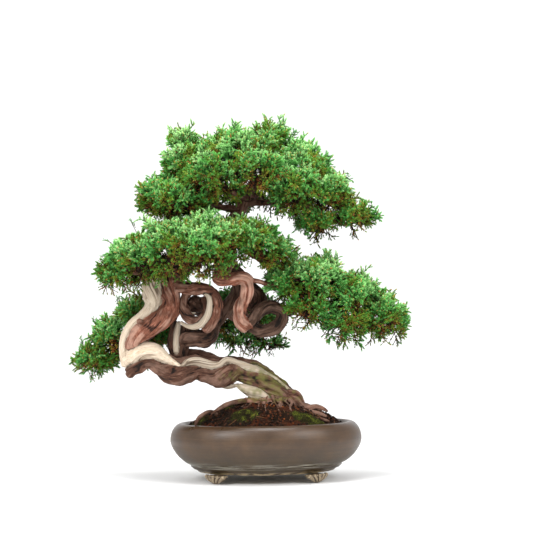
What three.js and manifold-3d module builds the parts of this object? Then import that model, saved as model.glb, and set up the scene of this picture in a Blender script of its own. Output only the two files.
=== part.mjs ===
// A juniper bonsai in an oval footed pot.
// Millimetres, +Z up. The origin is on the ground, under the middle of the whole object's box.
// +Y is behind the tree, and the front of the pot faces -Y.
import * as THREE from "three";
import { mergeVertices } from "three/addons/utils/BufferGeometryUtils.js";
import Module from "manifold-3d";

const wasm = await Module();
wasm.setup();

// Driving dimensions. The tree leans to -X, so the pot stands to the +X side of the middle.
const POT_OFFSET = 48;
const POT_ASPECT = 0.8; // the oval's depth over its width
const FOOT_HEIGHT = 15;
const BASE_HALF_WIDTH = 114;
const FLOOR_TOP = 26;
const RIM_TOP = 96.5;
const DRAIN_HOLE_RADIUS = 14;
const DRAIN_HOLE_X = 58;
const SOIL_FLOOR_Z = 31.5; // clear of the nets and their clips
const SOIL_EDGE_Z = 89;
const SOIL_PEAK_Z = 133;
const GAP = 0.3; // left between pieces that touch
const CLEAR = 0.6; // how much a piece is swollen before it is cut from its neighbour

// Each material is one finish of the real thing.
function finish(color, roughness, metalness = 0) {
  return new THREE.MeshStandardMaterial({ color, roughness, metalness });
}

const clay = finish(0x6d5c4e, 0.5);
const carvedClay = finish(0x8d7a66, 0.6);
const soilMix = finish(0x3d2417, 0.95);
const mossGreen = finish(0x52661f, 0.95);
const bark = finish(0x7a5244, 0.8);
const darkBark = finish(0x553c31, 0.85);
const deadwood = finish(0xd9c7a8, 0.7);
const needles = finish(0x3f8a4a, 0.7);
const shadedNeedles = finish(0x2c6b38, 0.7);
const netPlastic = finish(0x1d1d1f, 0.6);
const wire = finish(0xa8a6a2, 0.4, 0.9);

const bonsai = new THREE.Group();
const standing = new THREE.Group();
standing.position.x = POT_OFFSET;
bonsai.add(standing);

function addPart(name, geometry, material) {
  const mesh = new THREE.Mesh(geometry, material);
  mesh.name = name;
  standing.add(mesh);
  return mesh;
}

// A closed geometry as a solid that can be joined and cut.
function toSolid(geometry) {
  const bare = geometry.clone();
  bare.deleteAttribute("normal");
  bare.deleteAttribute("uv");
  const merged = mergeVertices(bare, 1e-3);
  const vertProperties = merged.attributes.position.array;
  const triVerts = new Uint32Array(merged.index.array);
  return new wasm.Manifold(new wasm.Mesh({ numProp: 3, vertProperties, triVerts }));
}

function toGeometry(solid) {
  const mesh = solid.getMesh();
  const geometry = new THREE.BufferGeometry();
  geometry.setAttribute("position", new THREE.BufferAttribute(new Float32Array(mesh.vertProperties), 3));
  geometry.setIndex(new THREE.BufferAttribute(new Uint32Array(mesh.triVerts), 1));
  geometry.computeVertexNormals();
  return geometry;
}

function join(solids) {
  return solids.reduce((whole, piece) => whole.add(piece));
}

// Cuts the cutters away and keeps the largest body that is left, without its slivers.
function cutAway(solid, cutters) {
  const left = cutters.reduce((rest, cutter) => rest.subtract(cutter), solid);
  return left.decompose().sort((a, b) => b.volume() - a.volume())[0];
}

// A tapering limb along a smooth route of [x, y, z, radius] points, with a domed end each way.
function limb(route, swell = 0, sides = 8, spacing = 14) {
  const centres = route.map(([x, y, z]) => new THREE.Vector3(x, y, z));
  const curve = new THREE.CatmullRomCurve3(centres, false, "centripetal");
  const steps = Math.max(3, Math.round(curve.getLength() / spacing));
  const frames = curve.computeFrenetFrames(steps);
  const positions = [];
  const indices = [];
  const ring = (centre, radius, step) => {
    for (let side = 0; side < sides; side++) {
      const turn = (side / sides) * Math.PI * 2;
      const across = frames.normals[step].clone().multiplyScalar(Math.cos(turn) * radius);
      const along = frames.binormals[step].clone().multiplyScalar(Math.sin(turn) * radius);
      positions.push(...centre.clone().add(across).add(along).toArray());
    }
  };
  const radiusAt = (u) => {
    const t = curve.getUtoTmapping(u) * (route.length - 1);
    const before = Math.min(Math.floor(t), route.length - 2);
    return THREE.MathUtils.lerp(route[before][3], route[before + 1][3], t - before) + swell;
  };
  for (let step = 0; step <= steps; step++) {
    ring(curve.getPointAt(step / steps), radiusAt(step / steps), step);
  }
  const start = positions.length / 3;
  const startPole = frames.tangents[0].clone().multiplyScalar(-0.55 * radiusAt(0));
  const endPole = frames.tangents[steps].clone().multiplyScalar(0.55 * radiusAt(1));
  positions.push(...curve.getPointAt(0).add(startPole).toArray());
  positions.push(...curve.getPointAt(1).add(endPole).toArray());
  for (let side = 0; side < sides; side++) {
    const next = (side + 1) % sides;
    indices.push(start, next, side);
    indices.push(start + 1, steps * sides + side, steps * sides + next);
    for (let step = 0; step < steps; step++) {
      const low = step * sides;
      const high = low + sides;
      indices.push(low + side, low + next, high + next, low + side, high + next, high + side);
    }
  }
  const geometry = new THREE.BufferGeometry();
  geometry.setAttribute("position", new THREE.Float32BufferAttribute(positions, 3));
  geometry.setIndex(indices);
  return toSolid(geometry);
}

// A rounded clump, from its centre and its half-sizes.
function clump([x, y, z, halfX, halfY, halfZ], swell = 0) {
  const ball = new THREE.IcosahedronGeometry(1, 1);
  ball.scale(halfX + swell, halfY + swell, halfZ + swell);
  ball.translate(x, y, z);
  return toSolid(ball);
}

// A solid of revolution squeezed to the pot's oval, from [radius, height] points.
function oval(profile, segments) {
  const points = profile.map(([radius, height]) => new THREE.Vector2(radius, height));
  const geometry = new THREE.LatheGeometry(points, segments);
  geometry.rotateX(Math.PI / 2);
  geometry.scale(1, POT_ASPECT, 1);
  return geometry;
}

// The pot: a ledge at the base, a belly that is widest low down, and a fat rolled lip.
const potProfile = [
  [0, FOOT_HEIGHT],
  [BASE_HALF_WIDTH - 2, FOOT_HEIGHT],
  [BASE_HALF_WIDTH, FOOT_HEIGHT + 2],
  [117, 20],
  [121, 21.5],
  [124, 24],
  [124, 27],
  [134, 29.5],
  [146, 35],
  [154.5, 45],
  [160, 66],
  [157.5, 80],
  [151.5, 92],
  [144, RIM_TOP],
  [137, 95],
  [134.5, 90],
  [143, 80],
  [149, 66],
  [140, 43],
  [122, 31],
  [100, FLOOR_TOP],
  [0, FLOOR_TOP],
];
const drainHole = new THREE.CylinderGeometry(DRAIN_HOLE_RADIUS, DRAIN_HOLE_RADIUS, 40, 20);
drainHole.rotateX(Math.PI / 2);
drainHole.translate(0, 0, (FOOT_HEIGHT + FLOOR_TOP) / 2);
const drainHoles = [-1, 1].map((side) => toSolid(drainHole.clone().translate(side * DRAIN_HOLE_X, 0, 0)));
const potSolid = cutAway(toSolid(oval(potProfile, 36)), drainHoles);
addPart("pot_body", toGeometry(potSolid), clay);

// A foot is a fan of lobes that narrows down to a small round toe, seen here as its front outline.
const FOOT_THICKNESS = 24;
function footGeometry() {
  const top = FOOT_HEIGHT - GAP;
  const outline = new THREE.Shape();
  outline.moveTo(-21, top);
  outline.quadraticCurveTo(-22, 9, -16, 7.5);
  outline.quadraticCurveTo(-14, 3.5, -9, 3.5);
  outline.quadraticCurveTo(-8.5, 0, -5, 0);
  outline.lineTo(5, 0);
  outline.quadraticCurveTo(8.5, 0, 9, 3.5);
  outline.quadraticCurveTo(14, 3.5, 16, 7.5);
  outline.quadraticCurveTo(22, 9, 21, top);
  outline.closePath();
  const geometry = new THREE.ExtrudeGeometry(outline, {
    depth: FOOT_THICKNESS,
    bevelEnabled: false,
    curveSegments: 4,
  });
  geometry.rotateX(Math.PI / 2);
  return geometry;
}

// The feet stand at the four corners of the oval, each facing out along its diagonal.
const FOOT_TURN = 0.78;
const feet = [
  ["front_right", 1, -1],
  ["front_left", -1, -1],
  ["back_right", 1, 1],
  ["back_left", -1, 1],
];
for (const [place, sideX, sideY] of feet) {
  const foot = addPart(`foot_${place}`, footGeometry(), carvedClay);
  const turn = sideY < 0 ? sideX * FOOT_TURN : Math.PI - sideX * FOOT_TURN;
  foot.rotation.z = turn;
  const front = new THREE.Vector3(sideX * 84, sideY * 67, 0);
  const inwards = new THREE.Vector3(-Math.sin(turn), Math.cos(turn), 0).multiplyScalar(FOOT_THICKNESS);
  foot.position.copy(front.add(inwards));
}

// A square of plastic net lies over each drain hole, and a bent wire holds it there.
const NET_SIZE = 38;
const NET_THICKNESS = 1.2;
const NET_CELL = 8;
const NET_OPENING = 5.6;
const WIRE_RADIUS = 0.8;
const netBottom = FLOOR_TOP + GAP;

function netGeometry() {
  const sheet = toSolid(new THREE.BoxGeometry(NET_SIZE, NET_SIZE, NET_THICKNESS));
  const openings = [];
  for (let column = -1.5; column <= 1.5; column++) {
    for (let row = -1.5; row <= 1.5; row++) {
      const opening = new THREE.BoxGeometry(NET_OPENING, NET_OPENING, 3 * NET_THICKNESS);
      opening.translate(column * NET_CELL, row * NET_CELL, 0);
      openings.push(toSolid(opening));
    }
  }
  return toGeometry(cutAway(sheet, openings)).translate(0, 0, NET_THICKNESS / 2);
}

function clipGeometry() {
  const legX = 1.5 * NET_CELL;
  const legY = NET_CELL / 2;
  const topZ = netBottom + NET_THICKNESS + 2 * GAP + WIRE_RADIUS;
  const underZ = FOOT_HEIGHT - 1.2 - WIRE_RADIUS;
  const half = [
    [legX + 10, underZ],
    [legX + 1.5, underZ],
    [legX - 0.4, underZ + 1.2],
    [legX - 0.7, underZ + 5],
    [legX - 0.6, topZ - 4],
    [legX - 0.8, topZ - 1.2],
    [legX - 3, topZ],
  ];
  const right = half.map(([x, z]) => new THREE.Vector3(x, legY, z));
  const left = half.map(([x, z]) => new THREE.Vector3(-x, legY, z)).reverse();
  const route = new THREE.CatmullRomCurve3([...right, ...left], false, "centripetal");
  const section = new THREE.Shape();
  section.absarc(0, 0, WIRE_RADIUS, 0, Math.PI * 2);
  return new THREE.ExtrudeGeometry(section, { steps: 32, curveSegments: 3, extrudePath: route });
}

for (const [side, sideX] of [["left", -1], ["right", 1]]) {
  const net = addPart(`drain_net_${side}`, netGeometry(), netPlastic);
  net.position.set(sideX * DRAIN_HOLE_X, 0, netBottom);
  const clip = addPart(`drain_clip_${side}`, clipGeometry(), wire);
  clip.position.set(sideX * DRAIN_HOLE_X, 0, 0);
}

// The wood, as routes of [x, y, z, radius] points from the pot's middle.
// The trunk leaves the soil to the left, turns back on itself at the far left and climbs to the crown.
const lowTrunk = [
  [44, -2, 98, 36],
  [17, -6, 128, 29],
  [-11, -8, 152, 26],
  [-44, -12, 173, 25],
  [-77, -18, 183, 25],
  [-105, -22, 187, 24],
  [-132, -24, 184, 22],
  [-157, -22, 186, 20],
  [-180, -16, 198, 17],
];
const barkTongue = [
  [-176, -18, 198, 15],
  [-204, -14, 199, 14],
  [-218, -14, 189, 13],
  [-225, -14, 180, 12],
];
const risingTrunk = [
  [-212, 4, 212, 22],
  [-217, 0, 229, 22],
  [-203, -8, 250, 24],
  [-180, -14, 272, 25],
  [-168, -14, 295, 26],
  [-172, -8, 319, 28],
  [-168, 6, 343, 25],
  [-142, 20, 367, 21],
];
const leader = [
  [-150, 17, 360, 21],
  [-102, 28, 391, 17],
  [-62, 20, 419, 13],
  [-39, 8, 448, 10.5],
  [-22, 0, 474, 9],
  [-8, 2, 500, 7],
];
const roots = [
  [[-12, -22, 124, 14], [-36, -34, 128, 8], [-60, -46, 124, 6.5], [-84, -60, 115, 5.5], [-104, -72, 106, 4]],
  [[22, -18, 120, 13], [45, -24, 119, 9], [66, -30, 117, 6.5], [88, -38, 113, 5], [106, -44, 105, 3.5]],
  [[10, -30, 118, 12], [16, -52, 116, 6], [28, -66, 109, 5], [38, -76, 103, 3.5]],
  [[-4, -28, 118, 12], [-8, -54, 120, 5.5], [-16, -70, 113, 4.5], [-20, -84, 104, 3]],
  [[36, 10, 116, 13], [62, 26, 117, 8], [84, 40, 111, 5.5], [98, 48, 103, 4]],
  [[6, 18, 118, 12], [-16, 42, 124, 7.5], [-36, 62, 117, 5.5], [-50, 76, 106, 4]],
];
const trunkRoutes = [lowTrunk, barkTongue, risingTrunk, leader];
function wholeTrunk(swell) {
  const stems = trunkRoutes.map((route) => limb(route, swell));
  const spread = roots.map((route) => limb(route, swell, 6, 18));
  return join([...stems, ...spread]);
}
const trunk = wholeTrunk(0);
const trunkCutter = wholeTrunk(CLEAR);
addPart("trunk", toGeometry(trunk), bark);

// The limbs that leave the trunk. Each is cut clear of the wood that was laid before it.
const limbRoutes = {
  deadwood_shoulder: [
    [-140, -20, 193, 13],
    [-166, -12, 207, 18],
    [-193, -2, 214, 22],
    [-213, 4, 214, 21],
  ],
  standing_stem: [
    [-150, -2, 196, 16],
    [-151, 2, 216, 15],
    [-149, -2, 240, 13],
    [-140, -8, 262, 11],
  ],
  coiled_limb: [
    [-160, -2, 338, 16],
    [-127, -22, 328, 13],
    [-100, -36, 323, 12],
    [-82, -44, 305, 14],
    [-83, -42, 281, 14],
    [-97, -34, 261, 11],
    [-118, -24, 258, 10],
    [-133, -6, 274, 11],
    [-131, 8, 298, 11],
    [-115, 18, 311, 11],
    [-100, 24, 300, 10],
  ],
  hidden_limb: [
    [-138, 10, 228, 14],
    [-120, 12, 243, 15],
    [-103, 16, 241, 16],
    [-92, 26, 252, 13],
    [-77, 36, 268, 12],
    [-57, 42, 275, 12],
    [-43, 40, 294, 12],
    [-40, 36, 325, 12],
    [-56, 30, 352, 12],
    [-80, 27, 380, 13],
  ],
  hooked_limb: [
    [-70, 22, 400, 12],
    [-56, -2, 386, 11],
    [-56, -22, 368, 10.5],
    [-68, -36, 356, 10.5],
    [-72, -46, 340, 10.5],
    [-54, -54, 332, 10.5],
    [-31, -56, 334, 10.5],
    [-26, -54, 318, 10],
    [-37, -50, 297, 10.5],
    [-43, -46, 276, 11],
    [-31, -40, 256, 12],
    [-14, -32, 272, 11.5],
    [3, -26, 286, 12],
    [23, -24, 290, 12],
    [37, -24, 278, 12],
    [31, -28, 262, 12],
    [14, -30, 249, 12],
    [-6, -26, 247, 11],
    [-18, -16, 252, 10],
  ],
  knuckle_limb: [
    [-48, 34, 330, 11],
    [-30, 12, 322, 13],
    [-12, 4, 312, 13],
    [-2, 0, 294, 10],
  ],
};

// The boughs that run out of the wood into the foliage.
const boughRoutes = {
  left_bough: [
    [-172, 4, 338, 13],
    [-196, -16, 350, 9],
    [-226, -30, 350, 5],
  ],
  middle_bough: [
    [-118, 24, 384, 11],
    [-112, -10, 384, 8],
    [-112, -50, 382, 5],
  ],
  right_bough: [
    [-66, 26, 412, 10],
    [-28, 12, 388, 9],
    [14, 4, 358, 8],
    [60, -2, 336, 7],
    [110, -6, 318, 6],
    [160, -8, 298, 4],
  ],
  thin_bough: [
    [-24, -44, 331, 4.5],
    [-4, -42, 328, 4],
    [22, -38, 320, 3.2],
    [48, -34, 316, 2.4],
  ],
  low_left_bough: [
    [-152, 16, 276, 9],
    [-176, 48, 268, 8],
    [-216, 68, 248, 6.5],
    [-258, 76, 226, 4.5],
  ],
  back_bough: [
    [-46, 46, 300, 8],
    [-34, 82, 286, 7],
    [-22, 112, 272, 5],
  ],
  low_back_bough: [
    [-62, 46, 276, 5],
    [-42, 76, 262, 4],
    [-28, 106, 240, 3],
  ],
  crown_left_bough: [
    [-36, 8, 452, 8],
    [-74, -2, 458, 6],
    [-118, -6, 460, 5],
    [-156, -6, 462, 3.5],
  ],
  crown_right_bough: [
    [-26, 2, 462, 7.5],
    [10, -4, 456, 6],
    [52, -8, 455, 6],
    [88, -10, 440, 4.5],
    [108, -12, 424, 3],
  ],
  crown_back_bough: [
    [-18, 4, 476, 6.5],
    [-6, 40, 480, 5],
    [0, 78, 480, 4],
  ],
  crown_front_bough: [
    [-24, -2, 470, 6],
    [-40, -38, 474, 4.5],
    [-48, -72, 474, 3.5],
  ],
};

// A swollen limb folds a little inside its tightest bends, so the true shape is cut away as well.
const woodCutters = [trunk, trunkCutter];
function addLimb(name, route, material, sides, spacing) {
  const solid = cutAway(limb(route, 0, sides, spacing), woodCutters);
  addPart(name, toGeometry(solid), material);
  woodCutters.push(limb(route, CLEAR, sides, spacing));
}
const limbFinish = { deadwood_shoulder: deadwood, hooked_limb: bark };
for (const [name, route] of Object.entries(limbRoutes)) {
  addLimb(name, route, limbFinish[name] ?? darkBark, 8, 13);
}
for (const [name, route] of Object.entries(boughRoutes)) {
  addLimb(name, route, darkBark, 5, 30);
}

// Soil fills the pot to a mound around the trunk.
const soilProfile = [
  [0, SOIL_FLOOR_Z],
  [98, SOIL_FLOOR_Z],
  [118, 34],
  [135, 45],
  [144.5, 66],
  [139, 79],
  [132, 86],
];
const SOIL_HALF_WIDTH = 131;
const MOUND_RINGS = 4;
for (let ring = MOUND_RINGS; ring >= 0; ring--) {
  const out = ring / MOUND_RINGS;
  const height = SOIL_EDGE_Z + (SOIL_PEAK_Z - SOIL_EDGE_Z) * (1 - out ** 1.9);
  soilProfile.push([SOIL_HALF_WIDTH * out, height]);
}
const soilBody = toSolid(oval(soilProfile, 28));
const soilSolid = cutAway(soilBody, woodCutters);
addPart("soil", toGeometry(soilSolid), soilMix);

// Moss grows in low cushions on the soil.
const mossPatches = {
  left: [-108, -36, 102, 15, 16, 7],
  front: [-34, -70, 110, 24, 16, 7],
  front_right: [66, -68, 103, 30, 14, 7],
  shoulder: [-62, -14, 121, 22, 16, 8],
  back_left: [-70, 50, 112, 30, 20, 7],
  back_right: [50, 58, 112, 34, 18, 7],
};
const soilCutter = toSolid(oval(soilProfile, 28).translate(0, 0, GAP));
for (const [place, patch] of Object.entries(mossPatches)) {
  const cushion = cutAway(clump(patch), [soilCutter, ...woodCutters]);
  addPart(`moss_${place}`, toGeometry(cushion), mossGreen);
}

// Foliage, as clumps of [x, y, z, half x, half y, half z] that stand for the live growth.
const foliageClumps = {
  crown_middle: [
    [-44, -10, 535, 72, 85, 62],
    [-76, -62, 500, 62, 56, 48],
    [-30, 62, 515, 78, 60, 60],
    [10, -12, 566, 42, 48, 40],
    [-20, -74, 492, 56, 44, 44],
  ],
  crown_left: [
    [-112, -8, 528, 56, 72, 50],
    [-160, -6, 478, 52, 70, 42],
    [-128, 52, 490, 56, 56, 44],
    [-134, -4, 574, 26, 34, 24],
    [-128, -54, 470, 52, 50, 34],
  ],
  crown_right: [
    [58, -4, 522, 56, 82, 54],
    [106, 2, 478, 48, 74, 44],
    [56, -58, 486, 50, 50, 40],
    [44, 66, 494, 60, 52, 46],
    [146, -8, 444, 50, 46, 26],
    [96, -16, 436, 34, 42, 28],
  ],
  middle_left: [
    [-240, -36, 344, 38, 46, 32],
    [-204, -52, 366, 48, 60, 46],
    [-206, 10, 356, 44, 52, 34],
  ],
  middle_front: [
    [-150, -74, 378, 56, 64, 54],
    [-92, -92, 380, 54, 66, 56],
    [-128, -30, 402, 56, 48, 34],
    [-60, -72, 398, 48, 60, 42],
  ],
  middle_right: [
    [-20, -66, 392, 42, 56, 40],
    [20, -48, 374, 32, 44, 28],
    [-22, -20, 402, 44, 46, 34],
  ],
  right_inner: [
    [44, -14, 326, 40, 60, 44],
    [92, -18, 322, 50, 72, 50],
    [70, 36, 318, 50, 48, 38],
    [74, -32, 280, 40, 50, 34],
  ],
  right_outer: [
    [144, -12, 298, 48, 70, 48],
    [188, -8, 270, 46, 56, 42],
    [130, -22, 262, 44, 52, 34],
    [164, 34, 290, 50, 46, 36],
    [212, -8, 254, 32, 36, 22],
  ],
  low_left_outer: [
    [-300, 70, 196, 40, 46, 30],
    [-266, 76, 234, 46, 56, 42],
    [-240, 86, 212, 44, 44, 30],
  ],
  low_left_inner: [
    [-222, 84, 276, 42, 50, 36],
    [-190, 84, 240, 36, 46, 34],
  ],
  back_upper: [
    [-46, 118, 292, 50, 42, 32],
    [0, 118, 274, 44, 42, 34],
    [-80, 104, 262, 40, 40, 30],
  ],
  back_low: [
    [-44, 110, 232, 40, 38, 22],
    [4, 112, 226, 32, 34, 20],
  ],
};

// The pads meet each other face to face, and grow round the boughs that carry them.
const grownCutters = [];
for (const [name, clumps] of Object.entries(foliageClumps)) {
  const whole = join(clumps.map((row) => clump(row)));
  const pad = cutAway(whole, [...woodCutters, ...grownCutters]);
  const shaded = name.startsWith("low") || name.startsWith("back");
  addPart(`foliage_${name}`, toGeometry(pad), shaded ? shadedNeedles : needles);
  grownCutters.push(join(clumps.map((row) => clump(row, CLEAR))));
}

export default bonsai;
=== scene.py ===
# %% [markdown]
# # A juniper bonsai in an oval footed pot
# The tree is a creeping juniper whose trunk leaves the soil to the left, turns back on itself and climbs
# to the crown. Its wood is half live bark and half bleached deadwood, and its shoots stand in pads.
# The CAD part is loaded first as a fixed frame. Every piece below is made in that frame, in metres,
# and stands for one or more of the CAD's plain solids, so nothing has to be fitted afterwards.

# %% The frame
import math

import bmesh
import bpy
import numpy as np
from mathutils import Matrix, Vector


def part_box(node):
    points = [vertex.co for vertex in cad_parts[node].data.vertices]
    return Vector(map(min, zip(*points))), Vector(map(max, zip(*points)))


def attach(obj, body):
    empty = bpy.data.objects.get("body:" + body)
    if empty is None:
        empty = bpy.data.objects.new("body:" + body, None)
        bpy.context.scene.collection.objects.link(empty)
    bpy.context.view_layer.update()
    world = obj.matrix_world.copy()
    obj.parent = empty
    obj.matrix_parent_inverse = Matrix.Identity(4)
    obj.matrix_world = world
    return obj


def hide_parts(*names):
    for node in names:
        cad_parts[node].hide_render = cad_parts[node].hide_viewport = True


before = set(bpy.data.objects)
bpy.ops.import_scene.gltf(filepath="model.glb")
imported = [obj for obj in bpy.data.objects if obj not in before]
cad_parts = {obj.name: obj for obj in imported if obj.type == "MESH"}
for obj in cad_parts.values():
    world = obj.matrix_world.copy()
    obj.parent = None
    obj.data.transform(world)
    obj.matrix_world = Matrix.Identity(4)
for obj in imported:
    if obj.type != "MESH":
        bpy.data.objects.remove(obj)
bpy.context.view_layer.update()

# %% [markdown]
# ## Measures
# Bonsai makers measure in millimetres from the middle of the pot, so the lists below do too. The pot's
# middle comes from its CAD solid. One helper turns such millimetres into the frame's metres.

# %% The pot's middle and the helper that places things
MM = 0.001
pot_low, pot_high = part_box("pot_body")
POT_MIDDLE = np.array([(pot_low.x + pot_high.x) / 2, (pot_low.y + pot_high.y) / 2, 0.0])


def placed(points_mm):
    """Millimetres from the pot's middle to metres in the frame."""
    return np.asarray(points_mm, float) * MM + POT_MIDDLE


print("pot's middle, mm:", [round(1000 * value, 1) for value in POT_MIDDLE])

# %% [markdown]
# ## Camera, floor and light
# The view is a portrait lens from two metres away, a little below the middle of the tree and tipped up
# three degrees. The tree stands in a plain pale studio: a floor that curves up into a wall,
# a bright even world, two large soft lights in front of the tree's shoulders and one above it.

# %% The camera
CAMERA_PLACE = Vector((0.0535, -2.2, 0.2415))
CAMERA_TILT_UP = math.radians(2.97)
CAMERA_ROLL = math.radians(-0.9)
camera_data = bpy.data.cameras.new("camera")
camera_data.sensor_width = 36
camera_data.lens = 88.2
camera = bpy.data.objects.new("camera", camera_data)
bpy.context.scene.collection.objects.link(camera)
looking = Matrix.Rotation(math.radians(90) + CAMERA_TILT_UP, 4, "X")
camera.matrix_world = Matrix.Translation(CAMERA_PLACE) @ looking @ Matrix.Rotation(CAMERA_ROLL, 4, "Z")
bpy.context.scene.camera = camera
print("lens:", camera_data.lens, "mm, tilt up:", round(math.degrees(CAMERA_TILT_UP), 1), "degrees")

# %% [markdown]
# Most pieces are worked out as arrays of points and triangles, and one helper turns such arrays into an
# object. The studio's sweep is the first of them: a flat floor, a quarter round and a wall.

# %% The floor and the wall
FLOOR_HALF = 6.0
WALL_Y = 3.0
WALL_TOP = 6.0
BEND = 1.5
BEND_STEPS = 16


def make_mesh(name, points, triangles, smooth=True):
    """A mesh object from arrays of points and triangles."""
    points = np.asarray(points, np.float32)
    triangles = np.asarray(triangles, np.int32)
    mesh = bpy.data.meshes.new(name)
    mesh.vertices.add(len(points))
    mesh.vertices.foreach_set("co", points.ravel())
    mesh.loops.add(triangles.size)
    mesh.loops.foreach_set("vertex_index", triangles.ravel())
    mesh.polygons.add(len(triangles))
    mesh.polygons.foreach_set("loop_start", np.arange(0, triangles.size, 3, dtype=np.int32))
    mesh.polygons.foreach_set("use_smooth", np.full(len(triangles), smooth))
    mesh.update(calc_edges=True)
    made = bpy.data.objects.new(name, mesh)
    bpy.context.scene.collection.objects.link(made)
    return made


def triangle_count(thing):
    sizes = np.empty(len(thing.data.polygons), np.int32)
    thing.data.polygons.foreach_get("loop_total", sizes)
    return int((sizes - 2).sum())


profile = [(-FLOOR_HALF, 0.0), (WALL_Y - BEND, 0.0)]
for step in range(1, BEND_STEPS + 1):
    turn = step / BEND_STEPS * math.pi / 2
    profile.append((WALL_Y - BEND + BEND * math.sin(turn), BEND - BEND * math.cos(turn)))
profile.append((WALL_Y, WALL_TOP))
sweep_points = [(side * FLOOR_HALF, y, z) for y, z in profile for side in (-1, 1)]
sweep_triangles = []
for row in range(len(profile) - 1):
    corner = 2 * row
    sweep_triangles += [(corner, corner + 1, corner + 3), (corner, corner + 3, corner + 2)]
backdrop = make_mesh("studio_sweep", sweep_points, sweep_triangles)
print("studio sweep:", triangle_count(backdrop), "triangles")

# %% [markdown]
# Every finish is a tree of shader nodes, and a small class keeps its writing short: a call adds one node,
# takes sockets or plain values, and returns the node's output.

# %% A builder of finishes


class Finish:
    """A small builder of node materials: each call adds one node and returns its output."""

    def __init__(self, name):
        self.material = bpy.data.materials.new(name)
        self.material.use_nodes = True
        self.tree = self.material.node_tree
        self.shader = self.tree.nodes["Principled BSDF"]

    def add(self, kind, **inputs):
        node = self.tree.nodes.new(kind)
        self.fill(node, inputs)
        return node

    def fill(self, node, inputs):
        for name, value in inputs.items():
            socket = node.inputs[name.replace("_", " ")]
            if isinstance(value, bpy.types.NodeSocket):
                self.tree.links.new(value, socket)
            else:
                socket.default_value = value

    def attribute(self, name, output="Fac"):
        node = self.tree.nodes.new("ShaderNodeAttribute")
        node.attribute_name = name
        return node.outputs[output]

    def place(self):
        return self.tree.nodes.new("ShaderNodeTexCoord").outputs["Object"]

    def stretched(self, vector, scale):
        node = self.add("ShaderNodeMapping", Vector=vector)
        node.inputs["Scale"].default_value = scale
        return node.outputs["Vector"]

    def noise(self, vector, scale, detail=4.0, roughness=0.55):
        node = self.add("ShaderNodeTexNoise", Vector=vector, Scale=scale, Detail=detail, Roughness=roughness)
        return node.outputs["Fac"]

    def ramp(self, factor, stops):
        """A colour or grey ramp from (position, value) stops."""
        node = self.add("ShaderNodeValToRGB", Fac=factor)
        elements = node.color_ramp.elements
        while len(elements) < len(stops):
            elements.new(1.0)
        for element, (position, value) in zip(elements, stops):
            element.position = position
            colour = (value, value, value) if isinstance(value, (int, float)) else value
            element.color = (*colour, 1.0)
        return node.outputs["Color"]

    def mix(self, factor, first, second, blend="MIX"):
        node = self.tree.nodes.new("ShaderNodeMix")
        node.data_type = "RGBA"
        node.blend_type = blend
        for socket, value in ((node.inputs[0], factor), (node.inputs[6], first), (node.inputs[7], second)):
            if isinstance(value, bpy.types.NodeSocket):
                self.tree.links.new(value, socket)
            else:
                socket.default_value = value if isinstance(value, (int, float)) else (*value, 1.0)
        return node.outputs[2]

    def maths(self, operation, first, second):
        node = self.tree.nodes.new("ShaderNodeMath")
        node.operation = operation
        for socket, value in ((node.inputs[0], first), (node.inputs[1], second)):
            if isinstance(value, bpy.types.NodeSocket):
                self.tree.links.new(value, socket)
            else:
                socket.default_value = value
        return node.outputs[0]

    def bump(self, height, distance_mm, strength=1.0, onto=None):
        inputs = {"Height": height, "Distance": distance_mm * MM, "Strength": strength}
        if onto is not None:
            inputs["Normal"] = onto
        return self.add("ShaderNodeBump", **inputs).outputs["Normal"]

    def done(self, **inputs):
        self.fill(self.shader, inputs)
        return self.material


def dress(thing, material):
    thing.data.materials.clear()
    thing.data.materials.append(material)


sweep_finish = Finish("studio_sweep")
dress(backdrop, sweep_finish.done(Base_Color=(0.86, 0.86, 0.86, 1.0), Roughness=0.9))
print("sweep finish:", len(sweep_finish.tree.nodes), "nodes")

# %% The lights


def soft_light(name, place, target, size, power):
    data = bpy.data.lights.new(name, "AREA")
    data.shape = "SQUARE"
    data.size = size
    data.energy = power
    light = bpy.data.objects.new(name, data)
    bpy.context.scene.collection.objects.link(light)
    light.location = place
    aim = Vector(target) - Vector(place)
    light.rotation_euler = aim.to_track_quat("-Z", "Y").to_euler()
    return light


soft_light("left_softbox", (-1.5, -1.6, 1.7), (0, 0, 0.3), 1.0, 36)
soft_light("right_softbox", (1.6, -1.5, 1.5), (0, 0, 0.3), 1.0, 28)
soft_light("overhead", (0.0, -0.3, 2.2), (0, 0, 0.3), 1.2, 42)
world = bpy.data.worlds.new("studio")
world.use_nodes = True
world.node_tree.nodes["Background"].inputs["Color"].default_value = (1.0, 1.0, 1.0, 1.0)
world.node_tree.nodes["Background"].inputs["Strength"].default_value = 0.9
bpy.context.scene.world = world
bpy.context.scene.view_settings.view_transform = "Standard"

# %% [markdown]
# ## Noise
# Bark, soil and clay are uneven in a way that repeats nowhere. Blender's noise texture shows only in the
# material, but here the surface itself has to move, so a small lattice noise is worked out with
# arrays: each whole-number corner has a fixed random value, and a point between corners blends the eight.

# %% A seeded noise for arrays of points


def corner_values(corners, seed):
    mixed = corners[:, 0] * 73856093 ^ corners[:, 1] * 19349663 ^ corners[:, 2] * 83492791 ^ seed * 668265263
    mixed = (mixed ^ (mixed >> 13)) * 1274126177
    return ((mixed ^ (mixed >> 16)) & 0xFFFF) / 32767.5 - 1


def noise(points, seed=1):
    """Smooth noise from -1 to 1, with one bump to each unit of the points' own scale."""
    corners = np.floor(points).astype(np.int64)
    blend = points - corners
    blend = blend * blend * (3 - 2 * blend)
    total = np.zeros(len(points))
    for offset in np.ndindex(2, 2, 2):
        weight = np.prod(np.where(offset, blend, 1 - blend), axis=1)
        total += weight * corner_values(corners + np.array(offset), seed)
    return total


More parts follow.
